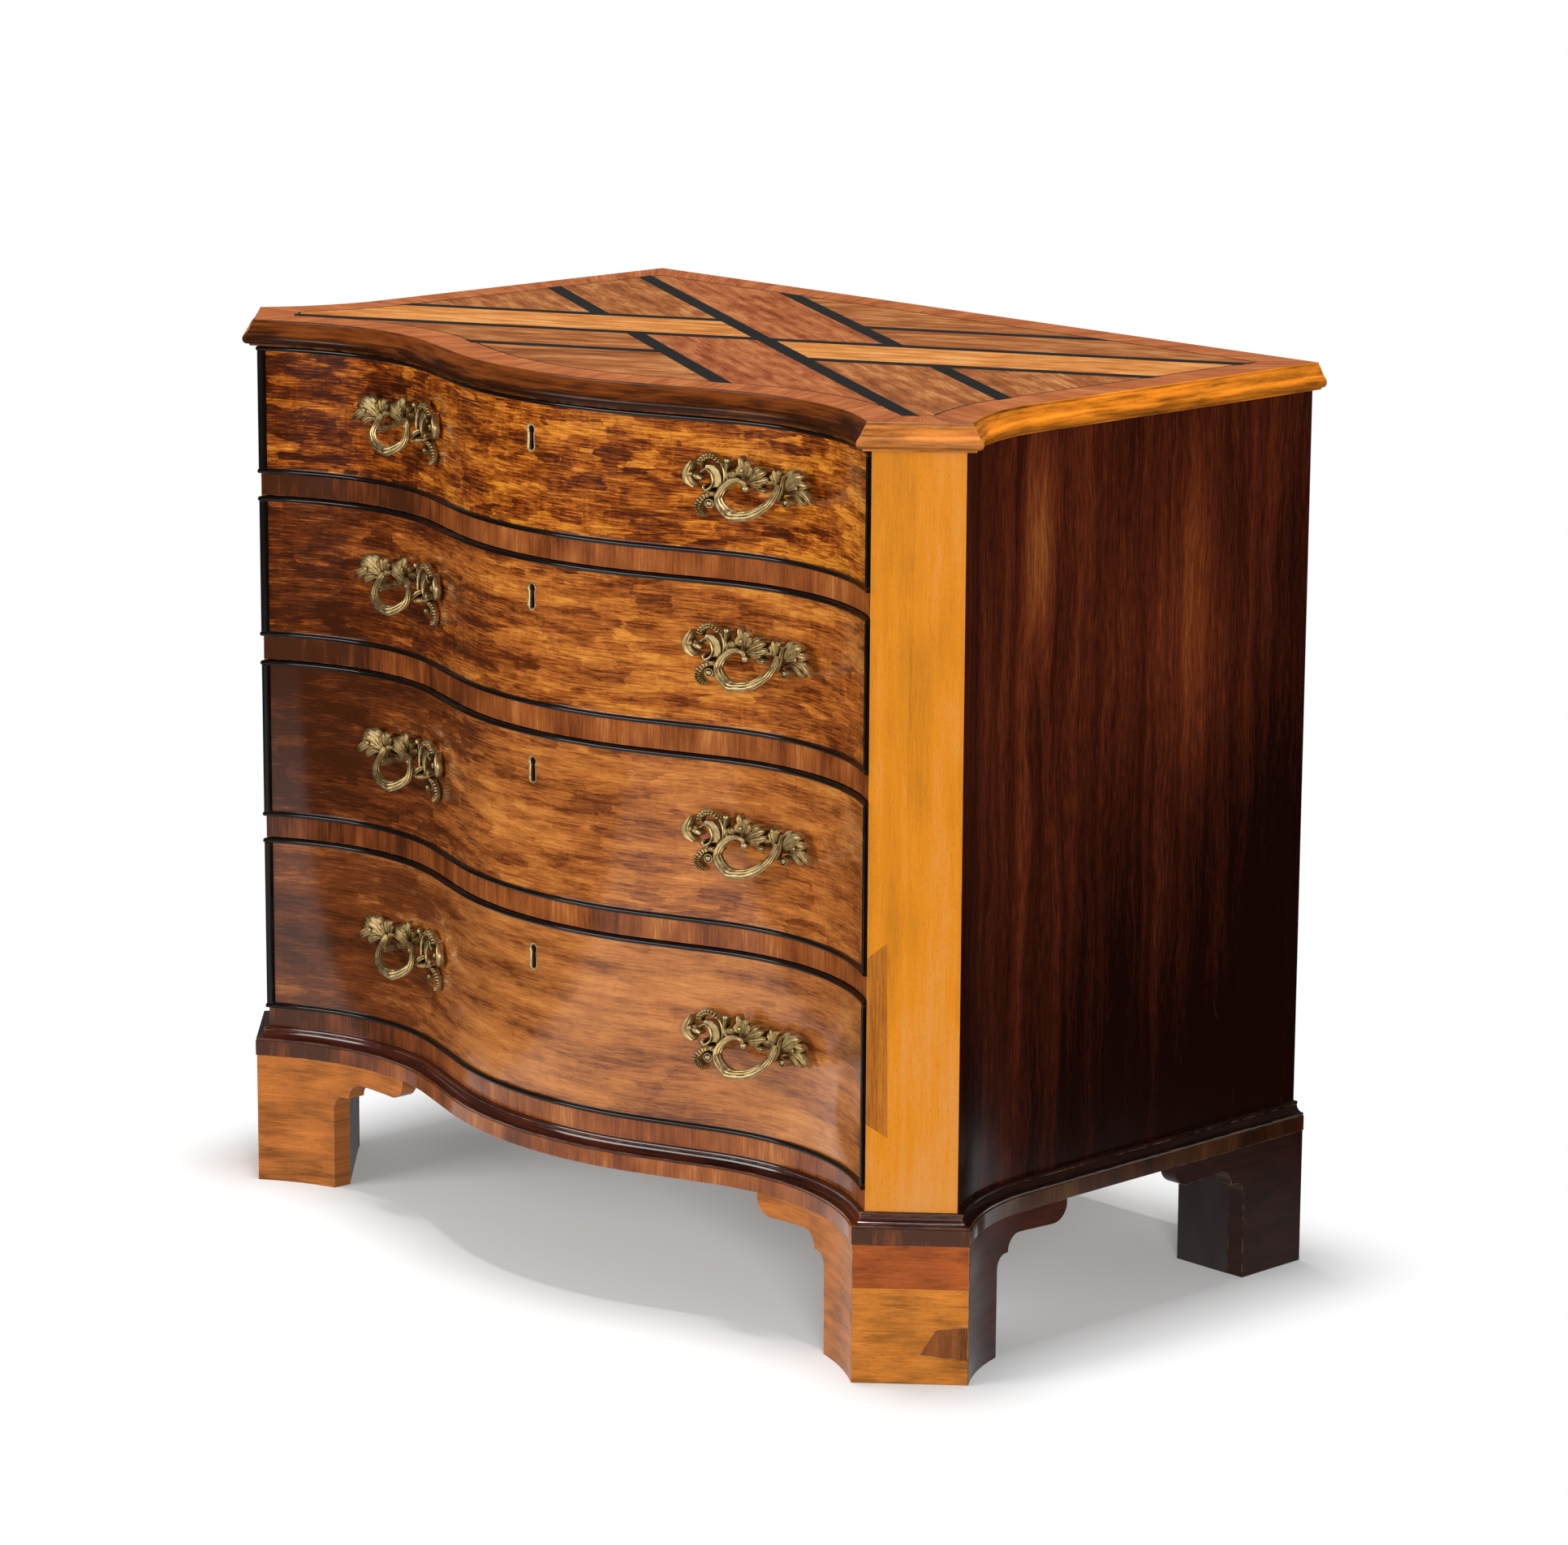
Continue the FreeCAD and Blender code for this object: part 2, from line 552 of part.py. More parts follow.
def make_feet():
    inner = FOOT_OVERHANG - BRACKET_THICK
    corner_front = corner_a(FOOT_OVERHANG)
    corner_side = corner_b(FOOT_OVERHANG)
    board = prism(front_ring(FOOT_OVERHANG, inner), 0.0, FOOT_HEIGHT)
    profile = bracket_outline(corner_front[0] + CUT_SPARE, LEG_WIDTH + CUT_SPARE)
    cutter = upright_prism(polygon(*chorded(profile, BRACKET_TURN)), -CARCASE_DEPTH, CARCASE_DEPTH)
    front = board.common(cutter)
    cant = prism(cant_ring(FOOT_OVERHANG, inner), 0.0, FOOT_HEIGHT)
    start = corner_side[1]
    side = side_bracket(flipped(bracket_outline(start, LEG_WIDTH), start))
    for name, solids in zip(("right", "left"), zip(*[both_sides(s) for s in (front, cant, side)])):
        save("front_%s_foot" % name, list(solids))
    rear_side = side_bracket(bracket_outline(CARCASE_DEPTH, REAR_LEG_WIDTH))
    outer = SIDE_X + inner
    leg = outer - REAR_LEG_INWARD
    wing = outer - REAR_BRACKET_REACH
    rear = polygon((outer, 0.0), (outer, FOOT_HEIGHT), (wing, FOOT_HEIGHT), (wing, SOFFIT_HEIGHT),
                   (leg, SOFFIT_HEIGHT - SCOOP_RADIUS), (leg, 0.0))
    rear_plain = upright_prism(rear, CARCASE_DEPTH - BRACKET_THICK, CARCASE_DEPTH)
    for name, solids in zip(("right", "left"), zip(*[both_sides(s) for s in (rear_side, rear_plain)])):
        save("rear_%s_foot" % name, list(solids))
    leg_x = corner_front[0] - LEG_WIDTH
    leg_y = corner_side[1] + LEG_WIDTH
    flare = arc_between(FLARE_CENTRE, corner_b(inner), flare_at(leg_y, inner))
    hollow = arc_between(HOLLOW_CENTRE, on_hollow(leg_x, inner), corner_a(inner))
    front_block = closed([hollow], [("line", corner_a(inner), corner_b(inner))], [flare])
    rear_block = box_outline(leg, outer, CARCASE_DEPTH - REAR_LEG_WIDTH, CARCASE_DEPTH - BRACKET_THICK)
    blocks = [prism(outline, 0.0, FOOT_HEIGHT) for outline in (front_block, rear_block)]
    save("foot_blocks", [s for block in blocks for s in both_sides(block)])


def flare_at(y, offset):
    """Point of the side's parallel at a given y."""
    radius = FLARE_RADIUS - offset
    if y >= FLARE_END:
        return (SIDE_X + offset, y)
    return (FLARE_CENTRE[0] - math.sqrt(radius ** 2 - (y - FLARE_END) ** 2), y)


def make_base():
    save("base_moulding", mitred_run(base_moulding_levels(), 0.0, CARCASE_DEPTH))
    rings = (front_ring(BAND_OVERHANG, 0.0), cant_ring(BAND_OVERHANG, 0.0),
             side_ring(BAND_OVERHANG, 0.0, CARCASE_DEPTH))
    front, cant, side = [prism(ring, FOOT_HEIGHT, BAND_TOP) for ring in rings]
    save("plinth_band", [front] + both_sides(cant) + both_sides(side))
    make_feet()


# Locks
def bolt_outline(clear):
    front = BOLT_SETBACK - FRONT_BOW
    half = BOLT_WIDTH / 2 + clear
    return box_outline(-half, half, front - clear, front + BOLT_THICK + clear)


def bolt_mortise(number):
    """Pocket in the rail above a drawer, for its bolt."""
    z = opening(number)[1]
    return prism(bolt_outline(MORTISE_CLEAR), z, z + MORTISE_DEPTH)


def lock_outline():
    return box_outline(-LOCK_WIDTH / 2, LOCK_WIDTH / 2, LOCK_SETBACK - FRONT_BOW, FRONT_THICK - FRONT_BOW)


def keyhole_outline(z, wall):
    """Round head over a body that widens downward, drawn in x and z, with chords in place of its arcs."""
    head = KEYHOLE_HEAD - wall
    waist = KEYHOLE_WAIST - wall
    base = KEYHOLE_BASE - wall
    head_z = z + KEYHOLE_HEAD_RISE
    neck_z = head_z - math.sqrt(head ** 2 - waist ** 2)
    foot_z = z - KEYHOLE_FOOT + wall
    outline = [("arc", (waist, neck_z), (0.0, head_z + head), (-waist, neck_z)),
               ("line", (-waist, neck_z), (-base, foot_z + base)),
               ("arc", (-base, foot_z + base), (0.0, foot_z), (base, foot_z + base)),
               ("line", (base, foot_z + base), (waist, neck_z))]
    return polygon(*chorded(outline, CHORD_TURN))


# Pulls: drawn flat as distance outward from the pull's middle and height, then laid on the front
def thick_arc(start, middle, end, width):
    """A scroll: a band along the arc through three points."""
    arc = Part.Arc(*[Vector(p[0], p[1], 0) for p in (start, middle, end)]).toShape()
    centre = (arc.Curve.Center.x, arc.Curve.Center.y)

    def rim(side):
        scale = 1 + side * width / 2 / arc.Curve.Radius
        return [along(centre, (p[0] - centre[0], p[1] - centre[1]), scale) for p in (start, middle, end)]
    outer = rim(1)
    inner = rim(-1)
    return [[("arc", *outer), ("line", outer[2], inner[2]),
             ("arc", *reversed(inner)), ("line", inner[0], outer[0])]]


def disc(centre, radius):
    x, z = centre
    right, top, left, bottom = (x + radius, z), (x, z + radius), (x - radius, z), (x, z - radius)
    return [("arc", right, top, left), ("arc", left, bottom, right)]


def leaf(base, tip, width):
    """A pointed leaf: two arcs from its base to its tip."""
    length = math.dist(base, tip)
    across = ((base[1] - tip[1]) / length, (tip[0] - base[0]) / length)
    middle = ((base[0] + tip[0]) / 2, (base[1] + tip[1]) / 2)
    sides = [along(middle, across, width / 2), along(middle, across, -width / 2)]
    return [("arc", base, sides[0], tip), ("arc", tip, sides[1], base)]


def panel_outline():
    """The plain cartouche between its two scrolls."""
    return [("arc", (-41.7, 17.6), (-34.8, 8.8), (-39.3, -2.5)), ("line", (-39.3, -2.5), (-24.0, -2.5)),
            ("arc", (-24.0, -2.5), (-24.0, 12.0), (-28.0, 25.5)), ("line", (-28.0, 25.5), (-41.7, 17.6))]


def scrolls():
    """Outer scroll, gadrooned rim, stem, lower volute and ribbed scroll."""
    bands = thick_arc((-54.6, 26.3), (-61.4, 12.0), (-51.0, 6.0), 6.5)
    bands += thick_arc((-53.0, 13.0), (-37.2, 28.6), (-19.0, 24.0), 6.0)
    bands += thick_arc((-20.5, 23.0), (-21.5, 12.0), (-23.0, -2.0), 5.0)
    bands += thick_arc((-41.5, 3.0), (-40.5, -3.5), (-24.0, -4.0), 5.0)
    bands += thick_arc((-36.0, -5.5), (-51.0, -11.0), (-49.9, -23.8), 7.0)
    return bands


def leaves():
    """Spray over the grip, feather beside it, sprig and the long outer frond."""
    spray = [leaf((-3, 3), (-4.5, 29.5), 14), leaf((-6, 6), (-21, 14.5), 10)]
    feather = [leaf((-4, 5), (22, 20.5), 12), leaf((-5, 6), (34, 2), 14)]
    sprig = [leaf((34, 1), (33.6, 20.5), 13)]
    frond = [leaf((30, 0), (64, 13), 16), leaf((34, 2), (77.5, -11.5), 16)]
    return spray + feather + sprig + frond


def bosses():
    return [disc((-40.1, -12.8), 5.0), disc((43.0, -7.6), 5.2)]


def loop_points():
    """The grip, from the curl at its top, round the left and the bottom, to the frond."""
    return [(-2.0, 9.0), (-21.5, -6.0), (1.0, -23.5), (39.0, 3.5)]


def tangent_arcs(points, heading):
    """Arcs through the points, each leaving in the direction in which the last one arrived."""
    segments = []
    for start, end in zip(points, points[1:]):
        length = math.dist(start, end)
        bearing = math.atan2(end[1] - start[1], end[0] - start[0])
        turn = bearing - heading
        turn = math.atan2(math.sin(turn), math.cos(turn))
        bulge = length / 2 * math.tan(turn / 2)
        middle = ((start[0] + end[0]) / 2, (start[1] + end[1]) / 2)
        across = (math.sin(bearing), -math.cos(bearing))
        segments.append(("arc", start, along(middle, across, bulge), end))
        heading = bearing + turn
    return segments


def shell(height, z):
    """Flat-faceted layer over the front behind the pull, so that a casting has few faces."""
    steps = [HANDLE_X + HANDLE_REACH * (2 * i / SHELL_FACETS - 1) for i in range(SHELL_FACETS + 1)]
    back = [(x, front_y(x, HANDLE_GAP)) for x in steps]
    face = [(x, front_y(x, height)) for x in reversed(steps)]
    return prism(polygon(*back, *face), z - HANDLE_REACH, z + HANDLE_REACH)


def relief(outlines, height, z):
    """Outlines laid on the right half of the front and raised to a height."""
    solids = []
    for outline in outlines:
        points = chorded(outline, CHORD_TURN)
        placed = [(HANDLE_X + PULL_UNIT * x, z + PULL_UNIT * rise) for x, rise in points]
        solids.append(upright_prism(polygon(*placed), -HOLLOW_DEPTH, 2 * HOLLOW_DEPTH))
    raised = solids[0].fuse(solids[1:]) if len(solids) > 1 else solids[0]
    return raised.common(shell(height, z))


def loop(z):
    """Straight bars mitred along the grip's arcs, tilted out from the front at the lower side."""
    points = [(PULL_UNIT * x, PULL_UNIT * rise) for x, rise in loop_points()]
    line = []
    for segment in tangent_arcs(points, math.radians(LOOP_HEADING)):
        arc = Part.Arc(*[Vector(*p, 0) for p in segment[1:]])
        line += arc.discretize(Number=LOOP_BARS + 1)[:-1]
    line.append(Vector(*points[-1], 0))
    rings = [bar_ring(line, i) for i in range(len(line))]
    left = points[1][0]
    right = points[-1][0]
    rise = front_y(HANDLE_X + right) - front_y(HANDLE_X + left)
    bars = []
    for first, second in zip(rings, rings[1:]):
        bar = Part.makeLoft([Part.makePolygon(first), Part.makePolygon(second)], True, True)
        bar.rotate(Vector(0, 0, 0), Vector(1, 0, 0), 90 - LOOP_TILT)
        bar.rotate(Vector(0, 0, 0), Vector(0, 0, 1), math.degrees(math.atan2(rise, right - left)))
        bar.translate(Vector(HANDLE_X, front_y(HANDLE_X) - LOOP_STANDOFF, z))
        bars.append(bar)
    return bars


def bar_ring(line, i):
    """Section of the grip in the mitre at a point of its line."""
    before = (line[i] - line[i - 1]).normalize() if i > 0 else (line[1] - line[0]).normalize()
    after = (line[i + 1] - line[i]).normalize() if i + 1 < len(line) else before
    middle = (before + after).normalize()
    wide = LOOP_RADIUS / middle.dot(before)
    across = middle.cross(Vector(0, 0, 1))
    turns = [2 * math.pi * k / LOOP_SIDES for k in range(LOOP_SIDES)]
    ring = [line[i] + across * (wide * math.cos(t)) + Vector(0, 0, LOOP_RADIUS * math.sin(t)) for t in turns]
    return ring + ring[:1]


def casting(z):
    """Pierced plate, and the bars of the grip that stand on it."""
    plate = relief(scrolls() + leaves() + bosses(), RELIEF_HEIGHT, z)
    plate = plate.fuse(relief([panel_outline()], PANEL_HEIGHT, z))
    return [plate] + [bar.cut(plate) for bar in loop(z)]


# Drawers
def joint_places():
    """x of the joints between a front's blocks, with the outer edges of its beads."""
    inner = [BLOCK_HALF * (2 * i / BLOCK_COUNT - 1) for i in range(BLOCK_COUNT + 1)]
    return [-FRONT_HALF] + inner + [FRONT_HALF]


def back_y(x):
    """Flat back of the block at x, as y."""
    places = joint_places()
    left = max(p for p in places[:-1] if p <= x)
    right = places[places.index(left) + 1]
    ends = [front_y(p, -FRONT_THICK) for p in (left, right)]
    return ends[0] + (ends[1] - ends[0]) * (x - left) / (right - left)


def back_line(start, end):
    """Points along the flat backs, from one x to another."""
    return [(x, back_y(x)) for x in [start] + [p for p in joint_places() if start < p < end] + [end]]


def front_board(outer, half_width, z0, z1):
    """Curved to a parallel in front, with the flat backs of the blocks behind."""
    behind = list(reversed(back_line(-half_width, half_width)))
    return prism(closed(front_path(outer, half_width), polygon(*behind)[:-1]), z0, z1)


def make_front(number, low, high, keyhole_z):
    """Blocks side by side inside the beads, let in for the lock and bored for the key."""
    front = front_board(0.0, BLOCK_HALF, low, high)
    deep = LOCK_SETBACK - FRONT_BOW
    recess = box(-LOCK_WIDTH / 2, LOCK_WIDTH / 2, deep, FRONT_THICK, high - LOCK_HEIGHT, high)
    hole = upright_prism(keyhole_outline(keyhole_z, 0.0), -FRONT_BOW - FRONT_THICK, deep)
    bored = front.cut([recess, hole])
    joints = joint_places()[1:-1]
    slices = [box(x0, x1, -CARCASE_DEPTH, CARCASE_DEPTH, low, high) for x0, x1 in zip(joints, joints[1:])]
    save("drawer_%d_front" % number, [bored.common(piece) for piece in slices])


def make_bead(number, low, high):
    """Four strips round the front; the upper one is slotted for the bolt."""
    level = front_board(BEAD_PROUD, FRONT_HALF, low, low + BEAD_THICK)
    top = level.translated(Vector(0, 0, high - low - BEAD_THICK))
    top = top.cut(prism(bolt_outline(MORTISE_CLEAR), high - BEAD_THICK, high))
    corners = ((BLOCK_HALF, BEAD_PROUD), (FRONT_HALF, BEAD_PROUD),
               (FRONT_HALF, -FRONT_THICK), (BLOCK_HALF, -FRONT_THICK))
    section = polygon(*[on_hollow(x, offset) for x, offset in corners])
    upright = prism(section, low + BEAD_THICK, high - BEAD_THICK)
    save("drawer_%d_cockbead" % number, [level, top] + both_sides(upright))


def make_box(number, bottom, top):
    outer = FRONT_HALF
    inner = outer - BOX_SIDE_THICK
    groove_low = bottom + BOTTOM_RISE
    groove_high = groove_low + DRAWER_BOTTOM_THICK
    outline = polygon(*back_line(inner, outer), (outer, BOX_BACK), (inner, BOX_BACK))
    side = prism(outline, bottom, top - SIDE_DROP)
    side = side.cut(box(inner, inner + BOTTOM_GROOVE, 0.0, BOX_BACK, groove_low, groove_high))
    back = box(-inner, inner, BOX_BACK - BOX_BACK_THICK, BOX_BACK, groove_high, top - BACK_DROP)
    save("drawer_%d_box" % number, both_sides(side) + [back])
    reach = inner + BOTTOM_GROOVE
    floor = polygon(*back_line(-reach, reach), (reach, BOX_BACK), (-reach, BOX_BACK))
    save("drawer_%d_bottom" % number, prism(floor, groove_low, groove_high))


def make_lock(number, high, keyhole_z):
    cavity = prism(bolt_outline(BOLT_CLEAR), high - BOLT_HEIGHT, high)
    save("drawer_%d_lock" % number, prism(lock_outline(), high - LOCK_HEIGHT, high).cut(cavity))
    bolt = prism(bolt_outline(0.0), high - BOLT_HEIGHT, high)
    save("drawer_%d_lock_bolt" % number, bolt)
    face = -FRONT_BOW - ESCUTCHEON_PROUD
    back = ESCUTCHEON_DEPTH - FRONT_BOW
    lining = upright_prism(keyhole_outline(keyhole_z, 0.0), face, back)
    lining = lining.cut(upright_prism(keyhole_outline(keyhole_z, ESCUTCHEON_WALL), face, back))
    save("drawer_%d_escutcheon" % number, lining)


def make_drawers():
    pulls = [s for solid in casting(0.0) for s in both_sides(solid)]
    for number in (1, 2, 3, 4):
        bottom, top = opening(number)
        low = bottom + BOTTOM_GAP
        high = top - TOP_GAP
        keyhole_z = top - KEYHOLE_DROP
        make_front(number, low + BEAD_THICK, high - BEAD_THICK, keyhole_z)
        make_bead(number, low, high)
        make_box(number, bottom, top)
        make_lock(number, high - BEAD_THICK, keyhole_z)
        rise = Vector(0, 0, (bottom + top) / 2)
        save("drawer_%d_handles" % number, [solid.translated(rise) for solid in pulls])


os.makedirs("parts", exist_ok=True)
make_top()
make_carcase()
make_blades()
make_base()
make_drawers()
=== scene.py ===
"""Serpentine commode: veneers, mouldings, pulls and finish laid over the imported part, in metres.

The plan repeats the part's own serpentine: every moulding, bead and veneer follows a parallel of it.
"""
import math

import bmesh
import bpy
from bpy.props import FloatProperty, FloatVectorProperty, PointerProperty
from mathutils import Matrix, Vector


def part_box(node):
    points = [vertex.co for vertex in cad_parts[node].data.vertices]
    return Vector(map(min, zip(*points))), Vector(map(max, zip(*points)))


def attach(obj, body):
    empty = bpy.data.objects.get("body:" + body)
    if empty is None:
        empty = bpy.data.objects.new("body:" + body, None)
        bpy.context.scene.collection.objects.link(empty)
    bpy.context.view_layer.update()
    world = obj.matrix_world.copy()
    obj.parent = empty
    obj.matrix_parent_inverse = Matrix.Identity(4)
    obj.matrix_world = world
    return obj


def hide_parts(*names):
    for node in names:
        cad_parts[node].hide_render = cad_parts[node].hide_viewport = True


bl_info = {
    "name": "Serpentine commode",
    "version": (1, 0, 0),
    "blender": (4, 5, 0),
    "location": "View3D > Sidebar > Commode",
    "description": "Veneers, mouldings, pulls and stage of a serpentine commode",
    "category": "Object",
}

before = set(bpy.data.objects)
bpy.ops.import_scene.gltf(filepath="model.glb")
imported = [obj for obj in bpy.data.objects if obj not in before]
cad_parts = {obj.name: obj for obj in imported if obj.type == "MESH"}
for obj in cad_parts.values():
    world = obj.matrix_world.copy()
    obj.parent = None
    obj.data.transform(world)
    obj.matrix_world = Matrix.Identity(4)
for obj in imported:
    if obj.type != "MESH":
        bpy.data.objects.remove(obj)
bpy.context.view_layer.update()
DRAWERS = (1, 2, 3, 4)
TOP_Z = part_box("top_panel")[1][2]
CARCASE_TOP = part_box("top_panel")[0][2]
BACK_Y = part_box("side_right")[1][1]
TOP_BACK_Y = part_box("top_panel")[1][1]
FOOT_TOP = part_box("plinth_band")[0][2]
BAND_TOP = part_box("plinth_band")[1][2]


def linear(hex_colour):
    """sRGB hex to linear red, green and blue."""
    channels = [int(hex_colour[i:i + 2], 16) / 255 for i in (1, 3, 5)]
    return tuple(c / 12.92 if c <= 0.04045 else ((c + 0.055) / 1.055) ** 2.4 for c in channels)


def length(name, default, description):
    return FloatProperty(name=name, description=description, default=default, unit="LENGTH", precision=4)


def colour(name, hex_colour, description):
    return FloatVectorProperty(name=name, description=description, default=linear(hex_colour),
                               subtype="COLOR", size=3, min=0.0, max=1.0)


class CommodePlan(bpy.types.PropertyGroup):
    """Sizes of the plan and of the trim"""
    corner_x: length("Corner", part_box("corner_post_right")[0][0],
                     "Half the width between the posts' front edges")
    cant_run: length("Cant run", 0.059, "Canted face, outward")
    cant_depth: length("Cant depth", 0.0545, "Canted face, front to back")
    side_inset: length("Side inset", 0.038, "Straight side inside the outer edge of the cant")
    flare_radius: length("Flare radius", 0.195, "Hollow of the side behind the cant")
    front_bow: length("Bow", 0.019, "Middle of the front, ahead of the corners")
    hollow_depth: length("Hollow", 0.0423, "Hollows of the front, behind the corners")
    hollow_inset: length("Hollow inset", 0.136, "Deepest point of a hollow, inward from the corner")
    straight_run: length("Straight run", 0.069, "Between the bow and a hollow")
    top_overhang: length("Top overhang", 0.015, "Nose of the top moulding, ahead of the carcase")
    leaf_overhang: length("Leaf overhang", 0.004, "Inner edge of the top moulding, ahead of the carcase")
    band_overhang: length("Band overhang", 0.013, "Plinth band, ahead of the carcase")
    crossband: length("Crossband", 0.038, "Width of the top's crossbanded border")
    string: length("String", 0.002, "Width of the ebonised line inside the border")
    bead: length("Bead", 0.0045, "Width of the cock bead's rounded face")
    bead_proud: length("Bead projection", 0.0045, "Cock bead, ahead of the veneer")
    bolt_throw: length("Bolt throw", 0.009, "Travel of a lock's bolt")
    foot_setback: length("Foot setback", 0.001, "Feet, behind the plinth band")
    bracket: length("Bracket", 0.018, "Thickness of a bracket foot")
    leg: length("Leg", 0.072, "Width of a front leg's face")
    rear_leg: length("Rear leg", 0.08, "Width of a rear leg's face")
    wing: length("Wing", 0.094, "From a leg's inner edge to its wing's end")
    soffit: length("Soffit", 0.107, "Height of the wing over the floor")
    front_thick: length("Front thickness", 0.022, "Thickness of a drawer front")
    pull_x: length("Pull", 0.236, "Middle of a pull, from the middle of the drawer")


class CommodeColours(bpy.types.PropertyGroup):
    """Colours of the woods, brass and floor"""
    gold: colour("Golden figure", "#cd8128", "Light figure of the mahogany fronts")
    amber: colour("Amber", "#a05214", "Middle tone of the mahogany fronts")
    umber: colour("Dark streak", "#5c2506", "Dark streaks of the mahogany fronts")
    honey: colour("Honey post", "#d98412", "Corner posts")
    side: colour("Side", "#5a2412", "Dark red-brown sides")
    ebony: colour("Ebonised", "#100c09", "Beads, string and bands")
    brass: colour("Brass", "#9c7f4c", "Aged lacquered brass")
    oak: colour("Oak", "#8f6a42", "Drawer sides")
    pine: colour("Pine", "#a07a4c", "Back, bottoms and dust boards")
    floor: colour("Floor", "#f4f4f4", "Studio floor")


def plan():
    return bpy.context.scene.commode_plan


def colours():
    return bpy.context.scene.commode_colours


# Plan curve
class Serpentine:
    """Parallels of the plan curve as points. A positive offset lies outside the carcase."""

    # Steps along each stretch
    BOW_STEPS, RUN_STEPS, HOLLOW_STEPS, CANT_STEPS, FLARE_STEPS, SIDE_STEPS = 20, 6, 36, 4, 18, 8

    def __init__(self, sizes):
        self.corner = Vector((sizes.corner_x, 0.0))
        self.outer = self.corner + Vector((sizes.cant_run, sizes.cant_depth))
        self.normal = Vector((sizes.cant_depth, -sizes.cant_run)).normalized()
        self.bow = sizes.front_bow
        hollow_x = sizes.corner_x - sizes.hollow_inset
        self.hollow_r = (sizes.hollow_inset ** 2 + sizes.hollow_depth ** 2) / (2 * sizes.hollow_depth)
        swing = sizes.front_bow + sizes.hollow_depth
        self.bow_r = (hollow_x ** 2 + swing ** 2 - sizes.straight_run ** 2) / (2 * swing) - self.hollow_r
        self.bow_centre = Vector((0.0, self.bow_r - sizes.front_bow))
        self.hollow_centre = Vector((hollow_x, sizes.hollow_depth - self.hollow_r))
        between = self.hollow_centre - self.bow_centre
        slope = math.atan2(between.y, between.x) + math.atan2(self.bow_r + self.hollow_r, sizes.straight_run)
        self.run_normal = Vector((math.sin(slope), -math.cos(slope)))
        self.side_x = self.outer.x - sizes.side_inset
        self.flare_r = sizes.flare_radius
        reach = math.sqrt(self.flare_r ** 2 - (self.flare_r - sizes.side_inset) ** 2)
        self.flare_centre = Vector((self.side_x + self.flare_r, self.outer.y + reach))
        self.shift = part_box("corner_post_right")[0][1]

    def meets_cant(self, centre, radius, offset, near):
        """Where an arc crosses a parallel of the cant, at the crossing nearest to a point."""
        start = self.corner + self.normal * offset
        direction = Vector((-self.normal.y, self.normal.x))
        to_start = start - centre
        half = to_start.dot(direction)
        root = math.sqrt(half ** 2 - to_start.length_squared + radius ** 2)
        ends = [start + direction * (-half - root), start + direction * (-half + root)]
        return min(ends, key=lambda p: (p - near).length)

    def corner_a(self, offset):
        """Where the front meets the cant."""
        return self.meets_cant(self.hollow_centre, self.hollow_r - offset, offset, self.corner)

    def corner_b(self, offset):
        """Where the cant meets the flared side."""
        return self.meets_cant(self.flare_centre, self.flare_r - offset, offset, self.outer)

    def arc(self, centre, start, end, steps):
        first = math.atan2(start.y - centre.y, start.x - centre.x)
        turn = math.atan2(end.y - centre.y, end.x - centre.x) - first
        turn = math.atan2(math.sin(turn), math.cos(turn))
        radius = (start - centre).length
        angles = [first + turn * i / steps for i in range(steps + 1)]
        return [Vector((centre.x + radius * math.cos(a), centre.y + radius * math.sin(a))) for a in angles]

    def on_hollow(self, x, offset):
        """Point of the right hollow at an x."""
        radius = self.hollow_r - offset
        return Vector((x, self.hollow_centre.y + math.sqrt(radius ** 2 - (x - self.hollow_centre.x) ** 2)))

    def placed(self, points):
        """Points of the plan in the shared frame."""
        return [Vector((p.x, p.y + self.shift)) for p in points]

    def run(self, offset):
        """Ends of the straight run between the bow and a hollow."""
        return (self.bow_centre + self.run_normal * (self.bow_r + offset),
                self.hollow_centre - self.run_normal * (self.hollow_r - offset))

    def front(self, offset, half=None):
        """Left to right along the serpentine, to a half width or else to the corners."""
        run_start, run_end = self.run(offset)
        end = self.corner_a(offset) if half is None else self.on_hollow(half, offset)
        middle = Vector((0.0, -self.bow - offset))
        right = self.arc(self.bow_centre, middle, run_start, self.BOW_STEPS)
        right += [run_start.lerp(run_end, i / self.RUN_STEPS) for i in range(1, self.RUN_STEPS + 1)]
        right += self.arc(self.hollow_centre, run_end, end, self.HOLLOW_STEPS)[1:]
        return self.placed([Vector((-p.x, p.y)) for p in reversed(right)] + right[1:])

    def front_y(self, x, offset=0.0):
        """y of the front's parallel at any x, in the shared frame."""
        x = abs(x)
        run_start, run_end = self.run(offset)
        if x <= run_start.x:
            y = self.bow_centre.y - math.sqrt((self.bow_r + offset) ** 2 - x ** 2)
        elif x >= run_end.x:
            y = self.on_hollow(x, offset).y
        else:
            y = run_start.y + (x - run_start.x) / (run_end.x - run_start.x) * (run_end.y - run_start.y)
        return y + self.shift

    def cant(self, offset):
        start, end = self.corner_a(offset), self.corner_b(offset)
        return self.placed([start.lerp(end, i / self.CANT_STEPS) for i in range(self.CANT_STEPS + 1)])

    def side(self, offset, back):
        """From the front corner of the right side to the back, whose y is in the shared frame."""
        flare_end = Vector((self.side_x + offset, self.flare_centre.y))
        points = self.arc(self.flare_centre, self.corner_b(offset), flare_end, self.FLARE_STEPS)
        last = Vector((flare_end.x, back - self.shift))
        return self.placed(points + [flare_end.lerp(last, i / self.SIDE_STEPS)
                                     for i in range(1, self.SIDE_STEPS + 1)])

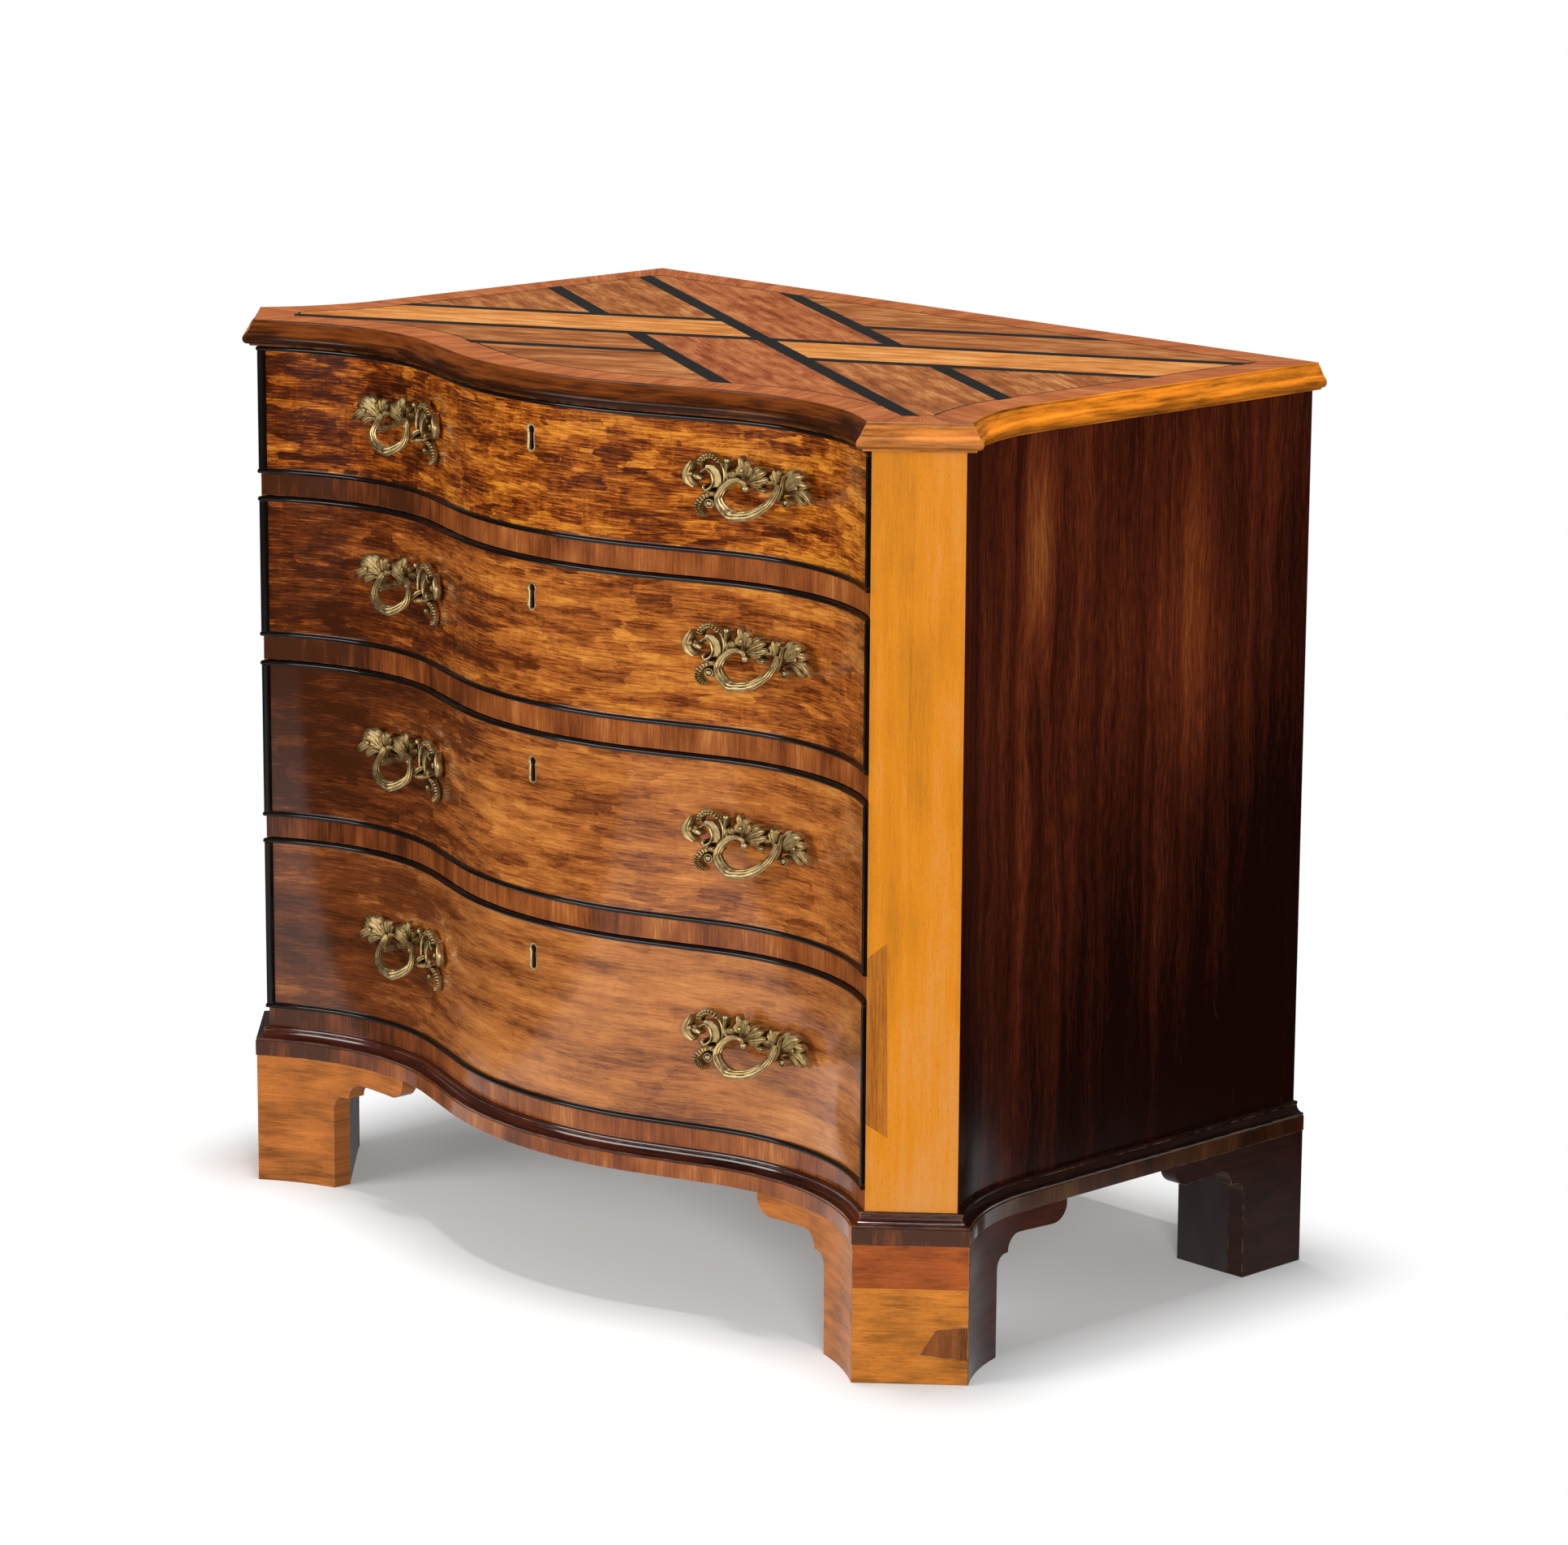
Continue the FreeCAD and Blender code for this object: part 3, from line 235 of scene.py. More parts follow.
    def stretches(self, offset, back):
        """Front, right and left cant, right and left side."""
        cant, side = self.cant(offset), self.side(offset, back)
        return {"front": self.front(offset), "cant_right": cant, "cant_left": mirrored(cant),
                "side_right": side, "side_left": mirrored(side)}


def mirrored(points):
    return [Vector((-p.x, p.y)) for p in reversed(points)]


def run_lengths(points):
    """Distance of each point from the first, along the points."""
    total = [0.0]
    for before, after in zip(points, points[1:]):
        total.append(total[-1] + (after - before).length)
    return total


def on_run(points, axis, value):
    """Where a run of points crosses a value of one coordinate."""
    for before, after in zip(points, points[1:]):
        if (before[axis] - value) * (after[axis] - value) <= 0 and before[axis] != after[axis]:
            return before.lerp(after, (value - before[axis]) / (after[axis] - before[axis]))
    raise ValueError("the run doesn't reach %.4f" % value)


def smooth_run(points, steps):
    """Curve through points, in pairs: each stretch leaves along the chord of its neighbours."""
    run = []
    for i in range(len(points) - 1):
        first, second = Vector(points[i]), Vector(points[i + 1])
        before = Vector(points[i - 1]) if i else first
        after = Vector(points[i + 2]) if i + 2 < len(points) else second
        for j in range(steps):
            t = j / steps
            bend = (second - before) * (t * (1 - t) ** 2 / 2) - (after - first) * (t * t * (1 - t) / 2)
            run.append(first.lerp(second, t * t * (3 - 2 * t)) + bend)
    return run + [Vector(points[-1])]


def spread(values, share):
    """Value at a share of the way along evenly placed values."""
    place = share * (len(values) - 1)
    i = min(int(place), len(values) - 2)
    return values[i] + (values[i + 1] - values[i]) * (place - i)


def curve():
    return Serpentine(plan())


# Meshes
def add_piece(name, mesh, body, material, replaces=(), sharp=35.0, bevel=0.0,
              cutters=()):
    """Turns a bmesh into an object that rides on a body."""
    data = bpy.data.meshes.new(name)
    bmesh.ops.recalc_face_normals(mesh, faces=mesh.faces)
    mesh.to_mesh(data)
    mesh.free()
    data.materials.append(material)
    piece = bpy.data.objects.new(name, data)
    bpy.context.scene.collection.objects.link(piece)
    for cutter in cutters:
        carve(piece, cutter)
    piece.data.shade_smooth()
    piece.data.set_sharp_from_angle(angle=math.radians(sharp))
    return dress(piece, body, replaces, bevel)


def dress(piece, body, replaces=(), bevel=0.0):
    """Eases a piece's edges and puts it on its body."""
    if bevel:
        edge = piece.modifiers.new("Eased edges", "BEVEL")
        edge.width = bevel
        edge.segments = 2
        edge.limit_method = "ANGLE"
        edge.angle_limit = math.radians(40)
        edge.harden_normals = True
    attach(piece, body)
    if replaces:
        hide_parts(*replaces)
    return piece


def carve(piece, cutter):
    """Cuts the shape of a bmesh out of a piece for good."""
    tool = bpy.data.objects.new("cutter", bpy.data.meshes.new("cutter"))
    bmesh.ops.recalc_face_normals(cutter, faces=cutter.faces)
    cutter.to_mesh(tool.data)
    cutter.free()
    bpy.context.scene.collection.objects.link(tool)
    cut = piece.modifiers.new("Cut", "BOOLEAN")
    cut.object = tool
    bpy.context.view_layer.update()
    evaluated = piece.evaluated_get(bpy.context.evaluated_depsgraph_get())
    result = bpy.data.meshes.new_from_object(evaluated)
    piece.modifiers.remove(cut)
    before = piece.data
    result.name = before.name
    piece.data = result
    bpy.data.meshes.remove(before)
    bpy.data.meshes.remove(tool.data)


def block(low, high):
    """A box as a bmesh, for cutting."""
    mesh = bmesh.new()
    bmesh.ops.create_cube(mesh, size=1.0)
    for vert in mesh.verts:
        vert.co = Vector(a + (b - a) * (c + 0.5) for a, b, c in zip(low, high, vert.co))
    return mesh


def heights(node):
    """Lowest and highest z of a node."""
    return [corner[2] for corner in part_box(node)]


def repaint(node, material):
    """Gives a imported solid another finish."""
    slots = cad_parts[node].data.materials
    slots.clear()
    slots.append(material)


def new_mesh():
    mesh = bmesh.new()
    return mesh, mesh.loops.layers.float_vector.new("grain")


def add_face(mesh, layer, corners, grains):
    face = mesh.faces.new(corners)
    for loop, grain in zip(face.loops, grains):
        loop[layer] = grain
    return face


def sweep(stations, along, seed=0.0, cross=False, upright=False, closed=False, into=None):
    """Mesh over closed sections. Grain runs along the sweep, or across it for crossbanding.

    upright takes the height as the place across the grain; closed joins the last section to the first;
    into is a mesh and its grain layer that take the sweep up.
    """
    mesh, layer = into or new_mesh()
    rows = [[mesh.verts.new(p) for p in section] for section in stations]
    count = len(stations[0])
    around = [0.0]
    for j in range(count):
        around.append(around[-1] + (stations[0][(j + 1) % count] - stations[0][j]).length)

    def grain(station, corner, turn):
        across = stations[station][corner].z if upright else around[turn]
        return (across, along[station], seed) if cross else (along[station], across, seed)

    for i in range(len(rows) - 1 + closed):
        after = (i + 1) % len(rows)
        for j in range(count):
            k = (j + 1) % count
            places = ((i, j, j), (after, j, j), (after, k, j + 1), (i, k, j + 1))
            add_face(mesh, layer, [rows[p[0]][p[1]] for p in places], [grain(*p) for p in places])
    if not closed:
        for row, section in ((rows[0], stations[0]), (rows[-1], stations[-1])):
            add_face(mesh, layer, row, [(p.x + p.y, p.z, seed) for p in section])
    return mesh


def moulded(paths, profile, seed=0.0, cross=False):
    """Mesh of a profile of (offset, height) pairs along parallels: paths gives the points of an offset."""
    offsets, heights = zip(*profile)
    lines = [paths(offset) for offset in offsets]
    stations = []
    for i in range(len(lines[0])):
        stations.append([Vector((line[i].x, line[i].y, h)) for line, h in zip(lines, heights)])
    return sweep(stations, run_lengths(lines[0]), seed, cross)


def walls(mesh, loops):
    """Side faces between two loops of points; gives their two rings of vertices."""
    rings = [[mesh.verts.new(p) for p in loop] for loop in loops]
    for i in range(len(rings[0])):
        mesh.faces.new((rings[0][i - 1], rings[0][i], rings[1][i], rings[1][i - 1]))
    return rings


def arc_profile(centre, radius, first, last, steps, squash=1.0):
    """Points of a profile along an arc, in degrees from the outward direction."""
    angles = [math.radians(first + (last - first) * i / steps) for i in range(steps + 1)]
    return [(centre[0] + radius * math.cos(a), centre[1] + squash * radius * math.sin(a)) for a in angles]


# Materials

# Sizes along and across the grain that the woods share, in metres
TORN = (0.03, 0.0024)           # ragged edges of the figure
BENT = (0.16, 0.05)             # slow waves of the grain
FIDDLEBACK = (0.0032, 0.02)     # bars across the grain
BLOCKS = (0.034, 0.0085)        # squarish figure that goes with the bars
PORES = (0.005, 0.0006)         # true pores are 0.2 mm wide or less: drawn coarser, so that they show
RUBBED = (0.08, 0.03)           # duller and brighter places of the polish
FRAYED = (0.012, 0.012)         # breaks in the worn edges
SEED_SPREAD = 7.0               # keeps the seeds of the pieces apart in the noise
EDGE_ROUND = 0.0012             # radius within which an edge is rubbed
EDGE_TURNS = (0.985, 0.8)       # cosines of the turn at which the rubbing starts and is full
WOOD_IOR = 1.45                 # one value for the wood and its polish
RUBBED_TONE = "#c99a68"
THREE_STOPS = (0.34, 0.5, 0.66)


def add(tree, kind, inputs=None, output=0, stops=(), **settings):
    """One node with its settings, links and ramp stops; an input is a value or another node's socket.

    Gives one of the node's outputs. Stops are (place, linear colour).
    """
    made = tree.nodes.new("ShaderNode" + kind)
    for key, value in settings.items():
        setattr(made, key, value)
    for key, value in (inputs or {}).items():
        if isinstance(value, bpy.types.NodeSocket):
            tree.links.new(value, made.inputs[key])
        else:
            made.inputs[key].default_value = value
    if stops:
        # Adding a stop sorts the ramp, so all are there before any is placed
        elements = made.color_ramp.elements
        while len(elements) < len(stops):
            elements.new(0.5)
        for element, (place, tone) in zip(elements, stops):
            element.position = place
            element.color = (*tone[:3], 1.0)
    return made.outputs[output] if made.outputs else None


def new_material(name):
    """A material and its empty tree, or a material that is already made and no tree."""
    material = bpy.data.materials.get(name)
    if material:
        return material, None
    material = bpy.data.materials.new(name)
    material.use_nodes = True
    material.node_tree.nodes.clear()
    return material, material.node_tree


def grain_place(tree, axis):
    """Grain coordinates in metres: a piece's own, or the object's axes for plain boards and beads."""
    if axis is None:
        return add(tree, "Attribute", None, "Vector", attribute_name="grain")
    turn = {"X": (0, 0, 0), "Y": (0, 0, math.pi / 2), "Z": (0, math.pi / 2, 0)}[axis]
    place = add(tree, "TexCoord", None, "Object")
    turned = add(tree, "Mapping", {"Vector": place, "Rotation": turn})
    axes = add(tree, "SeparateXYZ", {0: turned}).node.outputs
    across = add(tree, "Math", {0: axes["Y"], 1: axes["Z"]}, operation="ADD")
    return add(tree, "CombineXYZ", {"X": axes["X"], "Y": across})


def stretched(tree, place, size):
    """Grain coordinates counted in a size along the grain and one across it."""
    scale = (1 / size[0], 1 / size[1], SEED_SPREAD)
    return add(tree, "Mapping", {"Vector": place, "Scale": scale})


def grain_noise(tree, place, size, detail, rough=0.55):
    """Spots with a size along the grain and one across it, in metres."""
    return add(tree, "TexNoise", {"Vector": stretched(tree, place, size), "Scale": 1.0, "Detail": detail,
                                  "Roughness": rough})


def weighted(tree, parts):
    """Weighted sum of sockets."""
    total = 0.0
    for socket, weight in parts:
        share = add(tree, "Math", {0: socket, 1: weight}, operation="MULTIPLY")
        total = add(tree, "Math", {0: share, 1: total}, operation="ADD")
    return total


def soft_spot(tree, place, spot):
    """A spot's gain at its middle, falling to nothing at its reach along and across the grain."""
    (along, across), (half_along, half_across), gain = spot
    near = add(tree, "Mapping", {"Vector": place, "Scale": (1 / half_along, 1 / half_across, 0.0),
                                 "Location": (-along / half_along, -across / half_across, 0.0)})
    away = add(tree, "VectorMath", {0: near}, "Value", operation="LENGTH")
    return add(tree, "MapRange", {0: away, 1: 0.0, 2: 1.0, 3: gain, 4: 0.0})


def worn_edges(tree, place):
    """Where a rounded-over normal leaves the true one, an edge is rubbed pale in places."""
    true = add(tree, "NewGeometry", None, "Normal")
    eased = add(tree, "Bevel", {"Radius": EDGE_ROUND}, samples=6)
    same = add(tree, "VectorMath", {0: true, 1: eased}, "Value", operation="DOT_PRODUCT")
    edge = add(tree, "MapRange", {0: same, 1: EDGE_TURNS[0], 2: EDGE_TURNS[1]})
    fray = add(tree, "MapRange", {0: grain_noise(tree, place, FRAYED, 4), 1: 0.45, 2: 0.6})
    return add(tree, "Math", {0: edge, 1: fray}, operation="MULTIPLY")


def polished_wood(name, stops, streak=(0.25, 0.01), mottle=(0.05, 0.014), dash=(0.022, 0.0018),
                  weights=(0.4, 0.3, 0.3, 0.0), ragged=0.03, wave=0.006, ripple=0.0,
                  gloss=0.2, coat=0.4, pores=0.4, spots=(), worn=0.0, axis=None):
    """Sawn veneer, scraped, filled and polished: streaks along the grain, mottle, dashes, short dark pores.

    Pairs are sizes along and across the grain in metres. weights are the shares of the streaks, of broad
    bands, of the dashes and of the mottle, whose edges are torn along the grain by ragged. ripple adds
    fiddleback, fine bars across the grain, and the squarish blocks that go with it.
    """
    material, tree = new_material(name)
    if tree is None:
        return material
    place = grain_place(tree, axis)
    shift = add(tree, "CombineXYZ", {"X": grain_noise(tree, place, TORN, 3),
                                     "Y": grain_noise(tree, place, BENT, 2)})
    bent = add(tree, "VectorMath", {0: shift, 1: (ragged, wave, 0.0), 2: place}, operation="MULTIPLY_ADD")
    streaks = grain_noise(tree, bent, streak, 6, 0.62)
    broad = grain_noise(tree, bent, (streak[0] * 1.6, streak[1] * 6), 2)
    dashes = grain_noise(tree, bent, dash, 3)
    patches = add(tree, "MapRange", {0: grain_noise(tree, bent, mottle, 3), 1: 0.37, 2: 0.63})
    parts = list(zip((streaks, broad, dashes, patches), weights))
    if ripple:
        blocks = add(tree, "TexVoronoi", {"Vector": stretched(tree, bent, BLOCKS), "Scale": 1.0}, "Color",
                     distance="CHEBYCHEV")
        parts += [(grain_noise(tree, bent, FIDDLEBACK, 2), ripple), (blocks, 1.2 * ripple)]
    tone = weighted(tree, parts + [(soft_spot(tree, place, spot), 1.0) for spot in spots])
    figure = add(tree, "ValToRGB", {"Fac": tone}, stops=stops)
    pore_noise = grain_noise(tree, place, PORES, 1, 0.4)
    pore = add(tree, "MapRange", {0: pore_noise, 1: 0.6, 2: 0.74, 3: 1.0, 4: 1.0 - pores})
    shade = add(tree, "Mix", {0: 1.0, 6: figure, 7: pore}, 2, data_type="RGBA", blend_type="MULTIPLY")
    if worn:
        edge = add(tree, "Math", {0: worn_edges(tree, place), 1: worn}, operation="MULTIPLY")
        shade = add(tree, "Mix", {0: edge, 6: shade, 7: (*linear(RUBBED_TONE), 1.0)}, 2, data_type="RGBA")
    rub = grain_noise(tree, place, RUBBED, 5)
    rough = add(tree, "MapRange", {0: rub, 1: 0.3, 2: 0.7, 3: gloss, 4: gloss + 0.14})
    bump = add(tree, "Bump", {"Strength": 0.08, "Distance": 0.0003, "Height": pore})
    shader = add(tree, "BsdfPrincipled", {
        "Base Color": shade, "Roughness": rough, "Normal": bump, "IOR": WOOD_IOR,
        "Specular IOR Level": 0.08 if coat else 0.4, "Coat Weight": coat, "Coat IOR": WOOD_IOR,
        "Coat Roughness": 0.11 if coat > 0.3 else 0.24})
    add(tree, "OutputMaterial", {"Surface": shader})
    return material


def mixed(first, second, share):
    return tuple(a + (b - a) * share for a, b in zip(first, second))


def scaled(tone, factor):
    return tuple(c * factor for c in tone[:3])


def hex_stops(places, codes):
    """Stops of a ramp from hex colours."""
    return [(place, linear(code)) for place, code in zip(places, codes)]


def shades(tone, places, factors):
    """Stops of a ramp from one tone, made darker and lighter."""
    return [(place, scaled(tone, factor)) for place, factor in zip(places, factors)]


def front_veneer(number):
    """Figured mahogany of one drawer, French polished: a deep wet gloss over lively figure.

    The upper fronts are golden with dark mottle, the lower ones redder and calmer; painted shade darkens all
    of them at their ends.
    """
    tones = colours()
    red = (number - 1) / 3
    amber = mixed(tones.amber, linear("#b06a32"), red)
    gold = mixed(tones.gold, linear("#cc8644"), red)
    dark = mixed(tones.umber, linear("#6b3616"), red)
    figure = (scaled(dark, 0.35), dark, amber, gold, scaled(gold, 1.35))
    calm = 0.95 + 0.75 * red
    stops = [(0.5 + calm * place, tone) for place, tone in zip((-0.13, -0.06, 0.015, 0.08, 0.17), figure)]
    # Painted shade at each front's ends: how much darker the left and the right end are, by drawer
    left, right = {1: (-0.06, -0.03), 2: (-0.14, -0.07), 3: (-0.22, -0.06), 4: (-0.17, -0.05)}[number]
    spots = (((0.03, 0.1), (0.34, 0.3), left), ((0.98, 0.1), (0.24, 0.3), right))
    mottle, dash, streak = 0.05, 0.36 - 0.1 * red, 0.15 + 0.05 * red
    ripple = 0.12 - 0.06 * red
    broad = 1 - 2.2 * ripple - mottle - dash - streak
    return polished_wood("Figured mahogany, drawer %d" % number, stops, streak=(0.14, 0.006),
                         mottle=(0.06, 0.012), dash=(0.02, 0.0015), weights=(streak, broad, dash, mottle),
                         ragged=0.018, ripple=ripple, gloss=0.16, coat=1.0, spots=spots)


def crossband_veneer(kind):
    """Mahogany cut across the grain in short strips: fine stripes square to the edge, with painted shade at
    the left.
    """
    depth = {"brown": 1.0, "dark": 0.2}[kind]
    codes = ("#43200d", "#733a18", "#985426", "#c98a4a")
    stops = [(place, scaled(tone, depth)) for place, tone in hex_stops((0.34, 0.45, 0.56, 0.7), codes)]
    # Painted shade: the brown band darker toward its left end, within about 0.34 m
    spots = (((0.05, 0.0), (2.0, 0.34), -0.19),) if kind == "brown" else ()
    return polished_wood("Crossbanded mahogany, " + kind, stops, streak=(0.06, 0.008), dash=(0.03, 0.0013),
                         weights=(0.25, 0.5, 0.25, 0.0), ragged=0.0, wave=0.001, gloss=0.2, coat=0.6,
                         worn=0.3, spots=spots)


def top_crossband():
    """Mahogany cut across the grain for the top's border, faded and waxed: fine stripes, a soft sheen."""
    stops = hex_stops(THREE_STOPS, ("#6b341a", "#a45c33", "#c47d4c"))
    return polished_wood("Crossbanded mahogany, top border", stops, streak=(0.06, 0.004), ragged=0.0,
                         wave=0.001, gloss=0.44, coat=0.04)


def top_planks(kind):
    """Mahogany planks of the top, faded by light and rubbed with wax: a soft sheen, open pores."""
    codes = {"Light": ("#925222", "#c47d3d", "#d9a063"), "Red": ("#6b2f14", "#9a5630", "#b87648"),
             "Brown": ("#6a3a1e", "#98592f", "#c08650")}[kind]
    return polished_wood(kind + " mahogany, top planks", hex_stops(THREE_STOPS, codes), streak=(0.2, 0.007),
                         weights=(0.35, 0.2, 0.3, 0.15), gloss=0.44, coat=0.04, pores=0.55)


def honey_wood():
    """Solid mahogany bleached by light: honey-gold, straight grain, rubbed edges; paler low down."""
    stops = shades(colours().honey, (0.3, 0.44, 0.54), (0.5, 0.84, 1.0)) + [(0.72, linear("#d9924a"))]
    return polished_wood("Honey mahogany, posts", stops, streak=(0.3, 0.008), mottle=(0.09, 0.035),
                         weights=(0.3, 0.4, 0.21, 0.09), gloss=0.34, coat=0.25, pores=0.25, worn=0.5,
                         spots=(((0.15, 0.05), (0.2, 0.3), 0.1),))


def side_wood():
    """Solid mahogany, stained and polished almost black-red; a golden streak where the stain is rubbed."""
    stops = shades(colours().side, (0.35, 0.46, 0.53), (0.12, 0.5, 1.0))
    stops += hex_stops((0.62, 0.8), ("#7a3818", "#b06c34"))
    # Two paler streaks of figure high up; painted shade darkens the lower part, and a soft upright band
    # towards the back is darker
    spots = (((0.72, 0.14), (0.16, 0.026), 0.25), ((0.62, 0.34), (0.2, 0.06), 0.1),
             ((0.18, 0.3), (0.42, 0.6), -0.2), ((0.5, 0.5), (0.6, 0.16), -0.1))
    return polished_wood("Dark mahogany, sides", stops, streak=(0.5, 0.016), wave=0.03, gloss=0.16, coat=0.2,
                         spots=spots)


def moulding_wood(kind):
    """Solid mahogany run with a moulding plane and polished: pale on the rubbed edges, with painted shade on
    the brown one's nose and under it.
    """
    tone = linear({"golden": "#c9731a", "tan": "#a8642a", "brown": "#5f2e0e", "dark": "#3a150a",
                   "black": "#220c06"}[kind])
    # Painted shade on the front's brown moulding: darkest about 16 mm round the profile from its inner foot,
    # over the nose and its underside
    stained = (((0.5, 0.016), (50.0, 0.018), -0.2),) if kind == "brown" else ()
    return polished_wood("Moulded mahogany, " + kind, shades(tone, THREE_STOPS, (0.22, 1.0, 1.7)),
                         streak=(0.15, 0.004), mottle=(0.05, 0.008), weights=(0.35, 0.3, 0.2, 0.15),
                         gloss=0.22, coat=1.0 if kind in ("dark", "black") else 0.15, spots=stained, worn=0.6)


def foot_wood(kind):
    """Solid mahogany, sawn, scraped and waxed, knocked by brooms and shoes: dull, with pale worn edges."""
    tone = linear({"golden": "#a8632c", "honey": "#b86f28", "red": "#984c1f", "patch": "#7c461f",
                   "dark": "#3f190b", "black": "#2c120a"}[kind])
    return polished_wood("Foot mahogany, " + kind, shades(tone, (0.34, 0.5, 0.68), (0.45, 1.0, 1.5)),
                         streak=(0.12, 0.007), mottle=(0.04, 0.016), weights=(0.3, 0.25, 0.3, 0.15),
                         gloss=0.36, coat=0.08 if kind in ("dark", "black") else 0.2, worn=0.8)


def ebonised():
    """Pear stained black and polished: near black with faint brown rubbed through."""
    stops = shades(colours().ebony, (0.3, 0.55), (0.5, 1.0)) + [(0.8, linear("#2a1d14"))]
    return polished_wood("Ebonised pearwood", stops, streak=(0.05, 0.003), gloss=0.22, coat=0.5, pores=0.2,
                         worn=0.2, axis="X")


def plain_wood(name, tone, axis):
    """Planed and left bare: streaks along the board, no polish."""
    stops = shades(tone, (0.3, 0.5, 0.75), (0.6, 1.0, 1.3))
    return polished_wood(name, stops, streak=(0.3, 0.009), gloss=0.6, coat=0.0, axis=axis)


def aged_brass():
    """Cast, chased and lacquered brass: paler on its open faces, with painted shade darkening its hollows."""
    material, tree = new_material("Aged brass")
    if tree is None:
        return material
    place = add(tree, "TexCoord", None, "Object")
    # Tarnish in spots about 7 mm wide, and painted shade: hollows dark where another face lies within 4 mm
    spots = add(tree, "TexNoise", {"Vector": place, "Scale": 150.0, "Detail": 5.0, "Roughness": 0.65})
    hollow = add(tree, "AmbientOcclusion", {"Distance": 0.004}, "AO", samples=8, only_local=True)
    # Dark stops carry the painted shade of the hollows; the palest, the open faces
    stops = hex_stops((0.3, 0.5), ("#24170a", "#5f4421"))
    stops += [(0.74, colours().brass), (0.95, linear("#cdb98c"))]
    tone = add(tree, "ValToRGB", {"Fac": weighted(tree, [(hollow, 0.6), (spots, 0.5)])}, stops=stops)
    rough = add(tree, "MapRange", {0: spots, 1: 0.3, 2: 0.7, 3: 0.34, 4: 0.56})
    shader = add(tree, "BsdfPrincipled", {"Base Color": tone, "Metallic": 1.0, "Roughness": rough})
    add(tree, "OutputMaterial", {"Surface": shader})
    return material


def blackened_iron():
    """Forged and blackened: dark, dull and slightly mottled."""
    material, tree = new_material("Blackened iron")
    if tree is None:
        return material
    place = add(tree, "TexCoord", None, "Object")
    # Forge scale in spots about 11 mm wide
    spots = add(tree, "TexNoise", {"Vector": place, "Scale": 90.0, "Detail": 6.0})
    tone = add(tree, "ValToRGB", {"Fac": spots}, stops=hex_stops((0.3, 0.7), ("#14110f", "#37302b")))
    shader = add(tree, "BsdfPrincipled", {"Base Color": tone, "Metallic": 0.8, "Roughness": 0.5})
    add(tree, "OutputMaterial", {"Surface": shader})
    return material


# Pieces

# Hairlines between the top's layers, so that no two lie in one plane
LEAF_SINK = 0.0003
FIELD_SINK = 0.0001
BORDER_SINK = 0.00005
STRING_RISE = 0.00003
CUT_SPARE = 0.0003              # clearance of a cut round what goes into it


def bolt_pocket(number):
    """Room for a drawer's thrown bolt in what lies above the lock."""
    low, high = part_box("drawer_%d_lock_bolt" % number)
    slack, headroom = 0.0015, 0.003
    spare = Vector((slack, slack, 0.0))
    return block(low - spare, high + spare + Vector((0, 0, plan().bolt_throw + headroom)))


def standing(points, sign, heights):
    """A plan outline at each height, mirrored where the sign is negative."""
    return [[Vector((sign * p.x, p.y, z)) for p in points] for z in heights]


